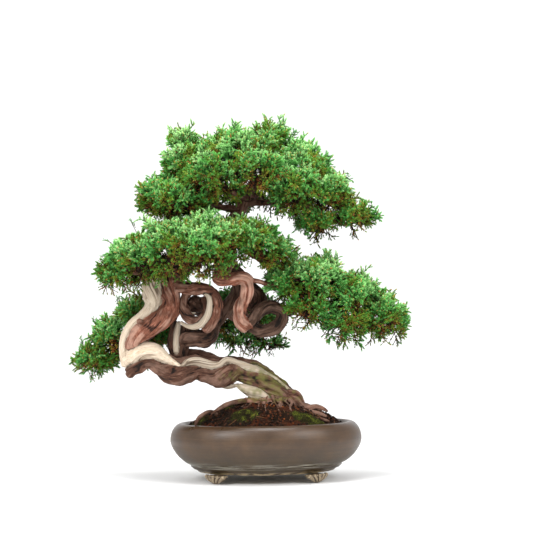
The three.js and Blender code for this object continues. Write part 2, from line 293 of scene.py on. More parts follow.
def layered(points, seed=1, layers=3):
    """Noise with finer noise on top of it."""
    return sum(noise(points * 2**layer, seed + layer) / 2**layer for layer in range(layers)) / 1.5


def creased(points, seed=1):
    """Noise folded at its middle, which gives rounded plates between narrow grooves."""
    return np.minimum(3.2 * np.abs(noise(points, seed)) - 0.7, 0.9)


print("noise at three points:", noise(np.array([[0.5, 0.2, 0.1], [3.4, 1.0, 2.0], [9.9, 0, 0.3]])).round(3))

# %% [markdown]
# ## Rings and tubes
# The pot, roots, strands of bark, boughs and twigs are all rings of points with a skin over them, so they
# share one way of being made. Along a route, the rings' frame is carried from ring to ring without
# twisting, and a fan of triangles closes each end.

# %% Skins over rings


def skin_triangles(rings, around):
    """A closed skin's triangles: bands between the rings and a fan to each end's pole. The points of the
    two poles come after those of the rings."""
    near = np.arange(around)
    following = (near + 1) % around
    triangles = []
    for ring in range(rings - 1):
        low, high = ring * around, (ring + 1) * around
        triangles.append(np.column_stack([low + near, low + following, high + following]))
        triangles.append(np.column_stack([low + near, high + following, high + near]))
    last = (rings - 1) * around
    pole = rings * around
    triangles.append(np.column_stack([np.full(around, pole), following, near]))
    triangles.append(np.column_stack([np.full(around, pole + 1), last + near, last + following]))
    return np.vstack(triangles)


def carried_frames(centres):
    """The direction and two side directions at each point of a route, without twist."""
    along = np.gradient(centres, axis=0)
    along /= np.linalg.norm(along, axis=1)[:, None] + 1e-12
    side = np.cross(along[0], (0.3, 0.9, 0.2))
    sides = []
    for direction in along:
        side = side - direction * side.dot(direction)
        side = side / (np.linalg.norm(side) + 1e-12)
        sides.append(side)
    sides = np.array(sides)
    return along, sides, np.cross(along, sides)


def tube(route, around=14):
    """A closed tube along a route, as points and triangles."""
    centres, radii = route[:, :3], route[:, 3]
    along, side, other = carried_frames(centres)
    turn = np.arange(around) / around * 2 * math.pi
    rings = side[:, None] * np.cos(turn)[None, :, None] + other[:, None] * np.sin(turn)[None, :, None]
    rings = centres[:, None] + rings * radii[:, None, None]
    poles = [centres[0] - along[0] * radii[0] * 0.7, centres[-1] + along[-1] * radii[-1] * 0.7]
    points = np.vstack([rings.reshape(-1, 3), poles])
    return points, skin_triangles(len(centres), around)


short_rod = np.array([(0, 0, height, 0.01) for height in (0.0, 0.05, 0.1)])
print("a tube of three rings has", len(tube(short_rod)[1]), "triangles")

# %% [markdown]
# ## The pot
# The real pot is thrown or pressed in brown stoneware and fired without glaze: a low oval bowl with a fat
# rolled lip, its widest place under the lip, and a step with a thin ledge above the feet. A cross-section
# swept round an oval gives exactly that. The outline has more points than the CAD's, so that the
# roll and the ledge are round, and 240 steps round the oval leave no flats to see.

# %% The pot's body
POT_ASPECT = 0.8
STEPS_ROUND = 240
DRAIN_HOLE_X = 58
DRAIN_HOLE_RADIUS = 14
pot_outline = [
    (112, 15), (113.8, 15.5), (115, 16.8), (116.5, 18.4), (119.5, 19.6), (122, 20.4), (123, 21.4),
    (123.6, 22.4), (125, 23), (126.2, 24), (126.4, 25.2), (126, 26.2), (127, 27), (130, 28.2),
    (134, 30.2), (138, 33), (142.6, 36.8), (147.2, 41), (151.5, 46.6), (155.6, 53), (158.4, 59),
    (160, 65.4), (159.8, 71.6), (158.6, 77.6), (156.4, 83.4), (153.2, 88.6), (149, 92.6), (144.6, 94.9),
    (140.6, 95.2), (137.4, 93.6), (135.2, 90.6), (135.6, 86.6), (140, 80), (146, 72), (148.6, 64),
    (147, 54), (141, 44), (132, 36.6), (120, 30.4), (100, 26),
]


def oval_loft(outline, steps):
    """A closed solid: an outline of (half-width, height) in millimetres swept round the pot's oval."""
    turn = np.arange(steps) / steps * 2 * math.pi
    rings = [
        np.column_stack([wide * np.cos(turn), wide * POT_ASPECT * np.sin(turn), np.full(steps, high)])
        for wide, high in outline
    ]
    points = np.vstack([*rings, [(0, 0, outline[0][1]), (0, 0, outline[-1][1])]])
    return placed(points), skin_triangles(len(outline), steps)


pot = make_mesh("stoneware_pot", *oval_loft(pot_outline, STEPS_ROUND))
print("swept pot:", triangle_count(pot), "triangles")


# %% [markdown]
# Two things happen to the swept solid afterwards. A drill cuts the drain holes, and the whole surface is
# moved by a third of a millimetre along its normals, since no hand-made pot is perfectly even.

# %% Drilling and hand-made unevenness
UNEVEN_MM = 0.35


def points_of(thing):
    points = np.empty(len(thing.data.vertices) * 3, np.float32)
    thing.data.vertices.foreach_get("co", points)
    return points.reshape(-1, 3).astype(float)


def normals_of(thing):
    normals = np.empty(len(thing.data.vertices) * 3, np.float32)
    thing.data.vertex_normals.foreach_get("vector", normals)
    return normals.reshape(-1, 3).astype(float)


def move_points(thing, points):
    thing.data.vertices.foreach_set("co", np.asarray(points, np.float32).ravel())
    thing.data.update()


def apply_modifiers(thing):
    """Bakes an object's modifiers into its mesh."""
    bpy.context.view_layer.update()
    evaluated = thing.evaluated_get(bpy.context.evaluated_depsgraph_get())
    finished = bpy.data.meshes.new_from_object(evaluated)
    thing.modifiers.clear()
    thing.data = finished


def drilled(thing, x_mm, radius_mm, low_mm, high_mm):
    """Cuts a round hole straight down through a piece."""
    rod = np.array([(x_mm, 0, high, radius_mm) for high in np.linspace(low_mm, high_mm, 4)])
    rod[:, :3] = placed(rod[:, :3])
    rod[:, 3] *= MM
    cutter = make_mesh("drill", *tube(rod, 48))
    cut = thing.modifiers.new("drill", "BOOLEAN")
    cut.operation = "DIFFERENCE"
    cut.solver = "EXACT"
    cut.object = cutter
    apply_modifiers(thing)
    bpy.data.objects.remove(cutter)


for side in (-1, 1):
    drilled(pot, side * DRAIN_HOLE_X, DRAIN_HOLE_RADIUS, 5, 40)
pot_points = points_of(pot)
hand_made = noise(pot_points / MM / 42, 5) * UNEVEN_MM * MM
move_points(pot, pot_points + normals_of(pot) * hand_made[:, None])
print("drilled pot:", triangle_count(pot), "triangles")

# %% [markdown]
# The clay is a warm grey-brown with a dull sheen where hands and water have polished the roll. Thin
# streaks run round it from the maker's tools. It is darker and greener towards the bottom, and
# lime from hard water has left a pale crust along the step and the ledge. Heights in the material
# are told from the piece's own place, so the crust follows the ledge all round.

# %% The pot's finish


def srgb(red, green, blue):
    """A colour as painters name it, 0 to 255, to the linear values that a shader takes."""
    def linear(value):
        value /= 255
        return value / 12.92 if value <= 0.04045 else ((value + 0.055) / 1.055) ** 2.4
    return (linear(red), linear(green), linear(blue))


clay = Finish("unglazed_clay")
place = clay.place()
heights = clay.add("ShaderNodeSeparateXYZ", Vector=place).outputs["Z"]
height_mm = clay.maths("MULTIPLY", heights, 1000.0)
height_share = clay.maths("DIVIDE", height_mm, 100.0)
streaks = clay.noise(clay.stretched(place, (9, 9, 420)), 1.0, 6.0, 0.6)
fine_streaks = clay.noise(clay.stretched(place, (30, 30, 1500)), 1.0, 4.0, 0.6)
blotches = clay.noise(place, 26.0, 5.0, 0.6)
speckle = clay.noise(place, 900.0, 3.0, 0.7)
upper = clay.ramp(blotches, [(0.3, srgb(54, 37, 20)), (0.5, srgb(66, 46, 26)), (0.72, srgb(80, 57, 34))])
lower = clay.ramp(blotches, [(0.3, srgb(46, 34, 14)), (0.7, srgb(60, 45, 20))])
up = clay.ramp(height_share, [(0.3, 0.0), (0.62, 1.0)])
body = clay.mix(up, lower, upper)
roll_colour = clay.mix(0.55, body, srgb(58, 38, 22))
roll_mask = clay.ramp(height_share, [(0.8, 0.0), (0.9, 1.0)])
body = clay.mix(roll_mask, body, roll_colour)
streak_tone = clay.ramp(streaks, [(0.3, 0.72), (0.5, 1.0), (0.7, 1.22)])
body = clay.mix(0.75, body, streak_tone, "MULTIPLY")
body = clay.mix(0.35, body, clay.ramp(fine_streaks, [(0.35, 0.8), (0.65, 1.1)]), "MULTIPLY")
dark_spots = clay.ramp(speckle, [(0.60, 0.0), (0.72, 1.0)])
body = clay.mix(clay.maths("MULTIPLY", dark_spots, 0.45), body, srgb(52, 45, 38))
pale_spots = clay.ramp(clay.noise(place, 1300.0, 2.0, 0.5), [(0.70, 0.0), (0.76, 1.0)])
body = clay.mix(clay.maths("MULTIPLY", pale_spots, 0.4), body, srgb(170, 152, 128))
step_band = clay.ramp(height_share, [(0.235, 0.0), (0.275, 0.9), (0.30, 1.0), (0.33, 0.35), (0.36, 0.0)])
lime = clay.noise(clay.stretched(place, (24, 24, 620)), 1.0, 7.0, 0.7)
lime_patches = clay.maths("MULTIPLY", clay.ramp(lime, [(0.48, 0.0), (0.60, 1.0)]), 0.8)
body = clay.mix(clay.maths("MULTIPLY", step_band, lime_patches), body, srgb(176, 172, 158))
foot_band = clay.ramp(height_share, [(0.15, 0.9), (0.175, 0.5), (0.20, 0.0)])
ochre = clay.noise(clay.stretched(place, (55, 55, 200)), 1.0, 6.0, 0.7)
ochre_patches = clay.maths("MULTIPLY", clay.ramp(ochre, [(0.44, 0.0), (0.58, 1.0)]), 0.85)
body = clay.mix(clay.maths("MULTIPLY", foot_band, ochre_patches), body, srgb(198, 176, 138))
polish = clay.maths("ADD", clay.maths("MULTIPLY", roll_mask, -0.22), blotches)
sheen = clay.ramp(polish, [(0.1, 0.26), (0.7, 0.46)])
grain = clay.bump(fine_streaks, 0.25, 0.5)
grain = clay.bump(speckle, 0.12, 0.6, grain)
grain = clay.bump(streaks, 0.5, 0.5, grain)
clay_finish = clay.done(Base_Color=body, Roughness=sheen, Specular_IOR_Level=0.5, Normal=grain)
dress(pot, clay_finish)
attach(pot, "root")
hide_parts("pot_body")
print("pot finish:", len(clay.tree.nodes), "nodes")

# %% [markdown]
# ## The feet
# Each foot is carved: five tapering flutes fan up and out from a small round toe to the pot's base, and a
# smooth cheek backs them. They are built as the carver leaves them, by laying one tapering ridge
# beside the next over a solid heart and melting them together at a fine grain.

# %% Carving one foot
FLUTES = 5


def blob(centre, half_sizes, around=16):
    """A closed ball stretched along the three axes."""
    rings = around // 2
    turn = np.arange(around) / around * 2 * math.pi
    rise = np.linspace(-math.pi / 2, math.pi / 2, rings + 1)[1:-1]
    shell = []
    for angle in rise:
        level = np.cos(angle)
        high = np.full(around, math.sin(angle))
        shell.append(np.column_stack([level * np.cos(turn), level * np.sin(turn), high]))
    points = np.vstack([*shell, [(0, 0, -1), (0, 0, 1)]]) * half_sizes + centre
    return points, skin_triangles(len(shell), around)


def foot_parts(node):
    """The ridges and heart of one foot, set where its CAD solid stands."""
    low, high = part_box(node)
    middle = np.array([(low.x + high.x) / 2, (low.y + high.y) / 2])
    outward = middle - POT_MIDDLE[:2]
    side_x, side_y = np.sign(outward)
    facing = np.array([side_x * math.sin(0.78), side_y * math.cos(0.78), 0.0])
    across = np.array([-facing[1], facing[0], 0.0])
    front = POT_MIDDLE + np.array([side_x * 87 * MM, side_y * 74 * MM, 0.0])

    def spot(sideways, outwards, height):
        return front + (across * sideways + facing * outwards) * MM + np.array([0, 0, height * MM])

    parts = []
    for flute in range(FLUTES):
        fan = flute / (FLUTES - 1) * 2 - 1
        rows = []
        for t in np.linspace(0, 1, 9):
            lean = fan * (4.6 + 15.6 * t**0.8)
            depth = -2.4 - 3.2 * abs(fan) + 1.6 * math.sin(math.pi * t) - 1.2 * (1 - t)
            rows.append([*spot(lean, depth, 2.6 + 10.2 * t), (1.9 + 1.9 * t) * MM])
        parts.append(tube(np.array(rows), 12))
    for outwards, sideways, height, half in [
        (-9, 0, 8.5, (15, 7, 6.3)), (-8, 0, 4.2, (9, 6.5, 4)), (-16, 0, 9.5, (14, 7, 5.3)),
        (-6, 0, 12.2, (20, 5.5, 2.6)), (-14, 0, 12.2, (20, 8.5, 2.6)),
    ]:
        points, triangles = blob((0, 0, 0), half)
        turned = spot(sideways, outwards, height) + (points[:, :1] * across + points[:, 1:2] * facing) * MM
        turned[:, 2] += points[:, 2] * MM
        if np.linalg.det(np.array([across, facing, (0, 0, 1)])) < 0:
            triangles = triangles[:, ::-1]
        parts.append((turned, triangles))
    return parts


print("flutes on a foot:", FLUTES)

# %% [markdown]
# The flutes are painted pale on their ridges, a painted highlight, and dark in their grooves, a painted
# shade. The finish reads that from a value called ridge, which is measured on the finished mesh.

# %% The carved clay's finish
carved = Finish("carved_clay")
place = carved.place()
ridge = carved.attribute("ridge")
patches = carved.noise(place, 160.0, 5.0, 0.65)
ground = carved.ramp(patches, [(0.3, srgb(44, 32, 20)), (0.55, srgb(68, 50, 34)), (0.75, srgb(88, 68, 48))])
# Painted highlight: the ridges of the flutes are painted pale, broken up by noise.
pale_and_painted_highlight = carved.ramp(ridge, [(0.45, 0.0), (0.8, 1.0)])
highlight_breakup = carved.ramp(carved.noise(place, 420.0, 4.0, 0.6), [(0.35, 0.35), (0.6, 1.0)])
pale_and_painted_highlight = carved.maths("MULTIPLY", pale_and_painted_highlight, highlight_breakup)
tone = carved.mix(pale_and_painted_highlight, ground, srgb(176, 158, 128))
# Painted shade: the grooves between the flutes are painted dark.
tone = carved.mix(carved.ramp(ridge, [(0.1, 0.85), (0.42, 0.0)]), tone, srgb(46, 36, 27))
dull = carved.ramp(patches, [(0.3, 0.45), (0.7, 0.7)])
carved_finish = carved.done(Base_Color=tone, Roughness=dull, Normal=carved.bump(patches, 0.4, 0.6))
print("carved finish:", len(carved.tree.nodes), "nodes")

# %% Melting the four feet
FOOT_TOP = 14.9
FOOT_VOXEL_MM = 0.6
RIDGE_MM = 0.35


def gathered(parts):
    """Several (points, triangles) as one."""
    points, triangles, count = [], [], 0
    for part_points, part_triangles in parts:
        points.append(part_points)
        triangles.append(part_triangles + count)
        count += len(part_points)
    return np.vstack(points), np.vstack(triangles)


def melted(name, parts, voxel_mm, smoothing=2):
    """Overlapping closed shapes melted into one skin."""
    lump = make_mesh(name, *gathered(parts))
    remesh = lump.modifiers.new("melt", "REMESH")
    remesh.mode = "VOXEL"
    remesh.voxel_size = voxel_mm * MM
    remesh.use_smooth_shade = True
    if smoothing:
        softened = lump.modifiers.new("soften", "SMOOTH")
        softened.factor = 0.5
        softened.iterations = smoothing
    apply_modifiers(lump)
    return lump


def openness(thing, passes=6):
    """How far each point stands out of its neighbourhood: above 0 on a ridge, below 0 in a groove."""
    points = points_of(thing)
    edges = np.empty(len(thing.data.edges) * 2, np.int32)
    thing.data.edges.foreach_get("vertices", edges)
    edges = edges.reshape(-1, 2)
    count = np.bincount(edges.ravel(), minlength=len(points))[:, None]
    blurred = points.copy()
    for _ in range(passes):
        total = np.zeros_like(blurred)
        np.add.at(total, edges[:, 0], blurred[edges[:, 1]])
        np.add.at(total, edges[:, 1], blurred[edges[:, 0]])
        blurred = total / np.maximum(count, 1)
    return np.einsum("ij,ij->i", points - blurred, normals_of(thing))


def add_values(thing, name, values, kind="FLOAT"):
    layer = thing.data.attributes.new(name, kind, "POINT")
    field = "vector" if kind == "FLOAT_VECTOR" else "value"
    layer.data.foreach_set(field, np.asarray(values, np.float32).ravel())


for node in ("foot_front_left", "foot_front_right", "foot_back_left", "foot_back_right"):
    foot = melted("carved_" + node, foot_parts(node), FOOT_VOXEL_MM, 1)
    foot_points = points_of(foot)
    foot_points[:, 2] = np.clip(foot_points[:, 2], 0, FOOT_TOP * MM)
    move_points(foot, foot_points)
    stands_out = openness(foot) / (RIDGE_MM * MM)
    add_values(foot, "ridge", np.clip(0.5 + 0.5 * stands_out, 0, 1))
    dress(foot, carved_finish)
    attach(foot, "root")
    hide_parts(node)
print("each foot has about", triangle_count(foot), "triangles")

# %% [markdown]
# ## The wood
# Old juniper wood is a bundle of strands. A live strand carries its bark from root to shoot and swells each
# year; the wood between dies, is stripped and bleaches to cream, so ribbons of bark and deadwood wind
# side by side. Each strand is laid here as a route, the bundle is melted into one skin, and
# then every point of the skin asks which strand it belongs to. The answer gives it its relief, its
# grain direction and its colour. Tone runs from 0, an old grey-brown bark, to 1, a fresh red one.

# %% The strands of the trunk
BARK, DEAD = 0, 1
trunk_strands = {
    "front_vein": (BARK, 0.25, [
        (-227, -8, 179, 9), (-214, -14, 186, 9), (-200, -18, 194, 7.5), (-189, -20, 195, 8),
        (-177, -22, 188, 10), (-165, -22, 181, 13.5), (-152, -22, 176, 16), (-139, -22, 175, 16),
        (-125, -22, 178, 14), (-112, -20, 179, 11.5), (-99, -18, 175, 11.5), (-86, -18, 170, 12.5),
        (-72, -18, 171, 16), (-59, -18, 176, 16), (-49, -14, 180, 13.5), (-37, -12, 174, 11.5),
        (-24, -12, 169, 11.5), (-9, -10, 163, 14), (6, -8, 154, 16), (21, -6, 142, 16.5),
        (35, -6, 128, 18.5), (45, -6, 113, 20)]),
    "back_vein": (BARK, 0.2, [
        (-159, 8, 204, 6.5), (-146, 14, 208, 7.5), (-129, 16, 210, 8.5), (-112, 16, 208, 8.5),
        (-95, 14, 202, 8.5), (-78, 12, 194, 8.5), (-58, 14, 196, 9.5), (-41, 16, 194, 10),
        (-24, 16, 187, 12), (-7, 14, 176, 13.5), (9, 12, 163, 15), (26, 10, 147, 17), (42, 8, 129, 18.5)]),
    "heart": (BARK, 0.2, [
        (-212, 0, 207, 15), (-192, -2, 210, 13.5), (-171, -4, 200, 13.5), (-151, -4, 189, 15),
        (-128, -2, 190, 16), (-105, -2, 190, 16), (-81, -2, 183, 16), (-58, 0, 181, 15), (-34, 2, 176, 15),
        (-11, 2, 163, 17), (9, 2, 150, 18.5), (26, 2, 134, 20), (39, 0, 116, 23.5)]),
    "ribbon": (DEAD, 0.45, [
        (-137, -26, 191, 3.5), (-127, -24, 198, 7), (-113, -22, 199, 8.5), (-100, -20, 195, 8.5),
        (-87, -18, 191, 8), (-75, -18, 192, 7), (-65, -18, 199, 6.5), (-55, -16, 198, 7),
        (-42, -14, 191, 8.5), (-29, -12, 186, 8.5), (-16, -10, 181, 7.5), (-2, -8, 172, 6.5),
        (10, -7, 162, 4.5)]),
    "upper_ribbon": (DEAD, 0.55, [
        (-22, 8, 190, 3.5), (-10, 2, 182, 6), (1, -2, 174, 6.5), (14, -4, 166, 6.5), (31, -6, 153, 6),
        (46, -6, 141, 5), (54, -6, 133, 3)]),
    "shoulder": (DEAD, 0.9, [
        (-233, 4, 205, 12), (-221, 2, 209, 20), (-207, -2, 215, 18.5), (-191, -8, 216, 16),
        (-177, -12, 212, 14), (-164, -16, 203, 10), (-150, -20, 195, 6.5), (-137, -24, 187, 3.5)]),
    "bleached_rise": (DEAD, 0.8, [
        (-231, 2, 194, 11), (-235, 0, 211, 10), (-236, -2, 227, 9), (-231, -4, 244, 10),
        (-221, -6, 259, 11), (-205, -8, 271, 11.5), (-192, -8, 282, 13.5), (-184, -6, 295, 17),
        (-185, -4, 311, 18.5), (-187, -2, 324, 18.5), (-184, 2, 341, 17)]),
    "rising_vein": (BARK, 0.95, [
        (-223, -6, 219, 8.5), (-221, -10, 231, 11), (-212, -14, 242, 12.5), (-198, -16, 252, 15),
        (-183, -18, 261, 16.5), (-168, -18, 272, 17.5), (-157, -16, 286, 16), (-154, -14, 301, 14),
        (-157, -10, 317, 14.5), (-158, -4, 334, 14.5), (-150, 4, 351, 15)]),
    "rising_back": (BARK, 0.5, [
        (-220, 14, 217, 15), (-215, 12, 237, 17), (-197, 10, 257, 20.5), (-178, 10, 277, 22),
        (-168, 12, 297, 22), (-170, 14, 318, 23.5), (-166, 18, 338, 22), (-138, 26, 364, 21.5),
        (-104, 32, 389, 19), (-72, 26, 412, 13.5), (-51, 16, 432, 10.5), (-40, 8, 450, 10),
        (-30, 4, 466, 9), (-20, 2, 484, 7.5), (-9, 2, 501, 6)]),
    "low_deadwood": (DEAD, 0.6, [
        (-44, -16, 156, 6), (-34, -18, 151, 9), (-23, -18, 146, 10.5), (-9, -16, 141, 10.5),
        (4, -12, 132, 10)]),
    "dead_lip": (DEAD, 0.3, [
        (-76, -14, 158, 2.5), (-64, -16, 155, 4), (-53, -16, 156, 4), (-44, -14, 158, 3.5)]),
    "root_collar": (BARK, 0.6, [
        (-35, -22, 132, 5), (-21, -24, 128, 7.5), (-6, -24, 125, 8.5), (9, -22, 123, 10),
        (25, -16, 120, 11.5)]),
    "knob": (BARK, 0.3, [
        (32, -8, 145, 6.5), (42, -10, 140, 8.5), (52, -8, 135, 8.5), (57, -8, 126, 7.5),
        (59, -6, 116, 6.5)]),
    "branch_stub": (BARK, 0.7, [(-204, -22, 262, 6), (-206, -32, 266, 5), (-207, -37, 267, 3.5)]),
    "stem_left": (BARK, 0.2, [
        (-151, -2, 266, 5), (-155, 0, 250, 6.5), (-157, 2, 233, 7), (-156, 2, 218, 6.5),
        (-148, 0, 204, 6.5)]),
    "stem_deadwood": (DEAD, 0.3, [
        (-143, -8, 264, 4), (-146, -8, 248, 5.5), (-148, -8, 229, 5.5), (-148, -8, 214, 4.5)]),
    "stem_right": (BARK, 0.1, [
        (-134, 2, 258, 8.5), (-135, 4, 241, 10), (-138, 4, 224, 10), (-145, 2, 206, 11)]),
}
root_strands = {
    "left_root": (BARK, 0.25, [
        (-21, -18, 131, 5), (-39, -30, 132, 4), (-54, -40, 130, 3.2), (-67, -50, 126, 3),
        (-78, -58, 120, 2.4), (-88, -66, 113, 1.8)]),
    "left_arch": (BARK, 0.15, [
        (-79, -50, 112, 1.8), (-90, -56, 117, 2.6), (-101, -62, 113, 3), (-109, -68, 106, 3),
        (-114, -72, 96, 2.2)]),
    "right_root": (BARK, 0.4, [
        (45, -12, 126, 6.5), (62, -20, 121, 5.5), (73, -26, 119, 5), (85, -30, 121, 4), (96, -34, 117, 3.5),
        (102, -36, 113, 2.5)]),
    "right_low_root": (BARK, 0.3, [
        (52, -20, 117, 5), (65, -28, 113, 4.5), (78, -34, 112, 3.5), (90, -42, 109, 3),
        (100, -48, 105, 2)]),
    "right_far_root": (BARK, 0.3, [
        (42, -24, 114, 5), (58, -34, 108, 4), (74, -42, 104, 3), (90, -52, 102, 2.5), (104, -60, 98, 1.5)]),
    "front_root": (BARK, 0.5, [
        (12, -24, 128, 4.5), (25, -38, 117, 3.5), (31, -50, 107, 3), (36, -64, 95, 2.5),
        (37, -72, 88, 1.5)]),
    "front_fork": (BARK, 0.5, [
        (22, -22, 124, 4.5), (35, -36, 113, 3.5), (43, -46, 104, 2.5), (50, -60, 91, 2)]),
    "front_thin_root": (BARK, 0.4, [
        (2, -26, 125, 3.5), (12, -42, 112, 2.5), (21, -56, 101, 2), (26, -68, 89, 1.5)]),
    "back_right_root": (BARK, 0.3, [
        (36, 10, 118, 12), (62, 26, 117, 8), (84, 40, 111, 5.5), (98, 48, 103, 4)]),
    "back_left_root": (BARK, 0.3, [
        (6, 18, 122, 12), (-16, 42, 124, 7.5), (-36, 62, 117, 5.5), (-50, 76, 106, 4)]),
}
rising_names = ("bleached_rise", "rising_vein", "rising_back", "branch_stub")
print("trunk strands:", len(trunk_strands), "root strands:", len(root_strands))

# %% The strands of the coil, the limb behind it and the hooked limb
coil_strands = {
    "coil_vein": (BARK, 0.55, [
        (-156, -4, 327, 13.5), (-139, -14, 323, 11), (-120, -22, 319, 10), (-101, -30, 319, 10),
        (-86, -34, 313, 9.5), (-78, -36, 301, 9), (-77, -36, 286, 9), (-81, -34, 272, 8.5),
        (-91, -32, 258, 8.5), (-99, -28, 251, 6)]),
    "coil_deadwood": (DEAD, 0.4, [
        (-98, -36, 313, 3.2), (-90, -40, 303, 4.6), (-90, -41, 288, 5.2), (-94, -40, 273, 5.4),
        (-104, -36, 260, 5.8), (-117, -30, 256, 5), (-130, -24, 258, 4), (-139, -18, 264, 3)]),
    "coil_inner": (BARK, 0.25, [
        (-126, -14, 314, 7.5), (-133, -14, 304, 7.5), (-135, -16, 291, 8.5), (-129, -20, 277, 8.5),
        (-118, -26, 267, 8), (-107, -30, 265, 7), (-100, -30, 274, 6), (-97, -28, 288, 5),
        (-100, -24, 304, 5)]),
    "coil_heart": (BARK, 0.1, [
        (-116, -6, 294, 14.5), (-116, 10, 293, 15), (-111, 24, 290, 15.5), (-100, 34, 281, 13.5)]),
    "dead_crescent": (DEAD, 0.4, [(-127, -20, 283, 1.5), (-121, -23, 279, 2), (-114, -23, 279, 1.5)]),
    "hidden_vein": (BARK, 0.1, [
        (-141, 4, 233, 12), (-129, 2, 237, 14.5), (-116, 0, 237, 15.5), (-102, 2, 236, 16.5),
        (-94, 10, 240, 15), (-91, 24, 252, 13.5), (-85, 34, 266, 13), (-75, 40, 278, 12.5),
        (-62, 42, 288, 12.5), (-50, 42, 301, 13), (-41, 38, 318, 13), (-43, 32, 339, 13),
        (-56, 28, 357, 13), (-73, 26, 373, 13.5)]),
}
hook_strands = {
    "hook_vein": (BARK, 1.0, [
        (-66, 22, 394, 12), (-56, 4, 382, 11.5), (-58, -10, 372, 11), (-61, -22, 358, 10.5),
        (-70, -34, 348, 10.5), (-74, -42, 337, 10.5), (-66, -48, 330, 10.5), (-51, -52, 333, 10),
        (-36, -54, 335, 10), (-26, -54, 330, 10), (-25, -53, 318, 10), (-30, -51, 303, 10),
        (-36, -49, 290, 10), (-39, -47, 277, 10.5), (-37, -44, 264, 11.5), (-29, -40, 255, 11.5)]),
    "loop_vein": (BARK, 0.05, [
        (-31, -40, 258, 10), (-21, -37, 262, 10.5), (-12, -34, 273, 10.5), (-2, -30, 283, 11),
        (11, -28, 287, 11), (24, -27, 282, 11), (31, -28, 274, 10.5), (27, -30, 263, 10.5),
        (17, -32, 253, 11), (4, -32, 249, 10.5), (-9, -30, 250, 10), (-21, -24, 256, 8.5)]),
    "loop_tip": (BARK, 0.05, [
        (23, -26, 282, 10), (34, -25, 277, 8.5), (43, -22, 276, 6), (54, -16, 278, 4)]),
    "knuckle": (BARK, 0.1, [
        (-31, 20, 324, 12), (-17, 6, 313, 13.5), (-10, 0, 303, 13.5), (-14, -6, 291, 12),
        (-22, -10, 284, 8.5)]),
    "thin_branch": (BARK, 0.8, [
        (-25, -50, 331, 4.5), (-13, -48, 330, 4), (-2, -46, 327, 4), (10, -44, 323, 3.5),
        (26, -42, 319, 2.5)]),
}
print("coil strands:", len(coil_strands), "hook strands:", len(hook_strands))

# %% [markdown]
# Relief comes from the strand a point belongs to. In the strand's own frame a noise stretched along the
# route makes the long plates and furrows of bark, or the fine checks of deadwood. Bark stands proud of
# the deadwood beside it and rolls over its edge, because it goes on growing, and a dark line of
# shadow and dirt lies in the joint.

# %% Which strand a point belongs to
ROUTE_STEP_MM = 2.0
POINTS_AT_ONCE = 4000


def smooth_route(points, step_mm):
    """Rows of x, y, z, radius in millimetres to an evenly spaced smooth route in metres."""
    rows = np.asarray(points, float)
    ends = np.vstack([2 * rows[0] - rows[1], rows, 2 * rows[-1] - rows[-2]])
    fine = []
    for before, start, end, after in zip(ends, ends[1:], ends[2:], ends[3:]):
        for t in np.linspace(0, 1, 12, endpoint=False):
            curve = 2 * start + (end - before) * t
            curve = curve + (2 * before - 5 * start + 4 * end - after) * t**2
            fine.append((curve + (3 * start - before - 3 * end + after) * t**3) / 2)
    fine = np.array([*fine, rows[-1]])
    lengths = np.concatenate([[0], np.cumsum(np.linalg.norm(np.diff(fine[:, :3], axis=0), axis=1))])
    count = max(3, round(lengths[-1] / step_mm) + 1)
    even = np.linspace(0, lengths[-1], count)
    route = np.column_stack([np.interp(even, lengths, fine[:, axis]) for axis in range(4)])
    route[:, :3] = placed(route[:, :3])
    route[:, 3] = np.maximum(route[:, 3], 0.2) * MM
    return route


def strand_routes(strands):
    return [(kind, tone, smooth_route(rows, ROUTE_STEP_MM)) for kind, tone, rows in strands.values()]


def belongings(points, routes):
    """For each point: its strand's kind and tone, its place in the strand's frame in millimetres, and
    how much nearer the deadwood is than the bark, in millimetres."""
    names = ("centre", "radius", "along", "side", "other", "run", "kind", "tone")
    samples = {name: [] for name in names}
    run = 0.0
    for kind, tone, route in routes:
        along, side, other = carried_frames(route[:, :3])
        count = len(route)
        step = np.linalg.norm(route[1, :3] - route[0, :3])
        columns = (route[:, :3], route[:, 3], along, side, other, run + np.arange(count) * step,
                   np.full(count, kind), np.full(count, tone))
        for name, values in zip(names, columns):
            samples[name].append(values)
        run += count * step + 0.2
    samples = {name: np.concatenate(values) for name, values in samples.items()}
    nearest = np.empty(len(points), int)
    margin = np.empty(len(points))
    dead = samples["kind"] == DEAD
    for start in range(0, len(points), POINTS_AT_ONCE):
        block = slice(start, start + POINTS_AT_ONCE)
        some = points[block]
        far = (some**2).sum(1)[:, None] + (samples["centre"]**2).sum(1) - 2 * some @ samples["centre"].T
        far = np.sqrt(np.maximum(far, 0)) - samples["radius"]
        nearest[block] = far.argmin(1)
        to_bark = far[:, ~dead].min(1)
        to_dead = far[:, dead].min(1) if dead.any() else to_bark + 1
        margin[block] = (to_bark - to_dead) / MM
    offset = points - samples["centre"][nearest]
    local = np.column_stack([
        np.einsum("ij,ij->i", offset, samples["side"][nearest]),
        np.einsum("ij,ij->i", offset, samples["other"][nearest]),
        samples["run"][nearest] + np.einsum("ij,ij->i", offset, samples["along"][nearest]),
    ]) / MM
    return samples["tone"][nearest], local, margin


trunk_routes = strand_routes(trunk_strands)
print("trunk routes:", sum(len(route) for _, _, route in trunk_routes), "rings in all")

# %% [markdown]
# The melted skin's voxels are about a millimetre, so plates of about four millimetres are real relief, and
# only what is finer is left to the material. Each measure below is the size of one bump: across the
# strand twice, then along it.

# %% Carving a bundle of strands
BARK_PLATE_MM = np.array([4.2, 4.2, 24.0])
BARK_FURROW_MM = np.array([11.0, 11.0, 52.0])
DEAD_CHECK_MM = np.array([4.0, 4.0, 70.0])
DEAD_FLUTE_MM = np.array([9.0, 9.0, 95.0])
TRUNK_VOXEL_MM = 1.08
LIMB_VOXEL_MM = 0.9


def smoothly(values, low, high):
    """A soft step from 0 at low to 1 at high."""
    t = np.clip((values - low) / (high - low), 0, 1)
    return t * t * (3 - 2 * t)


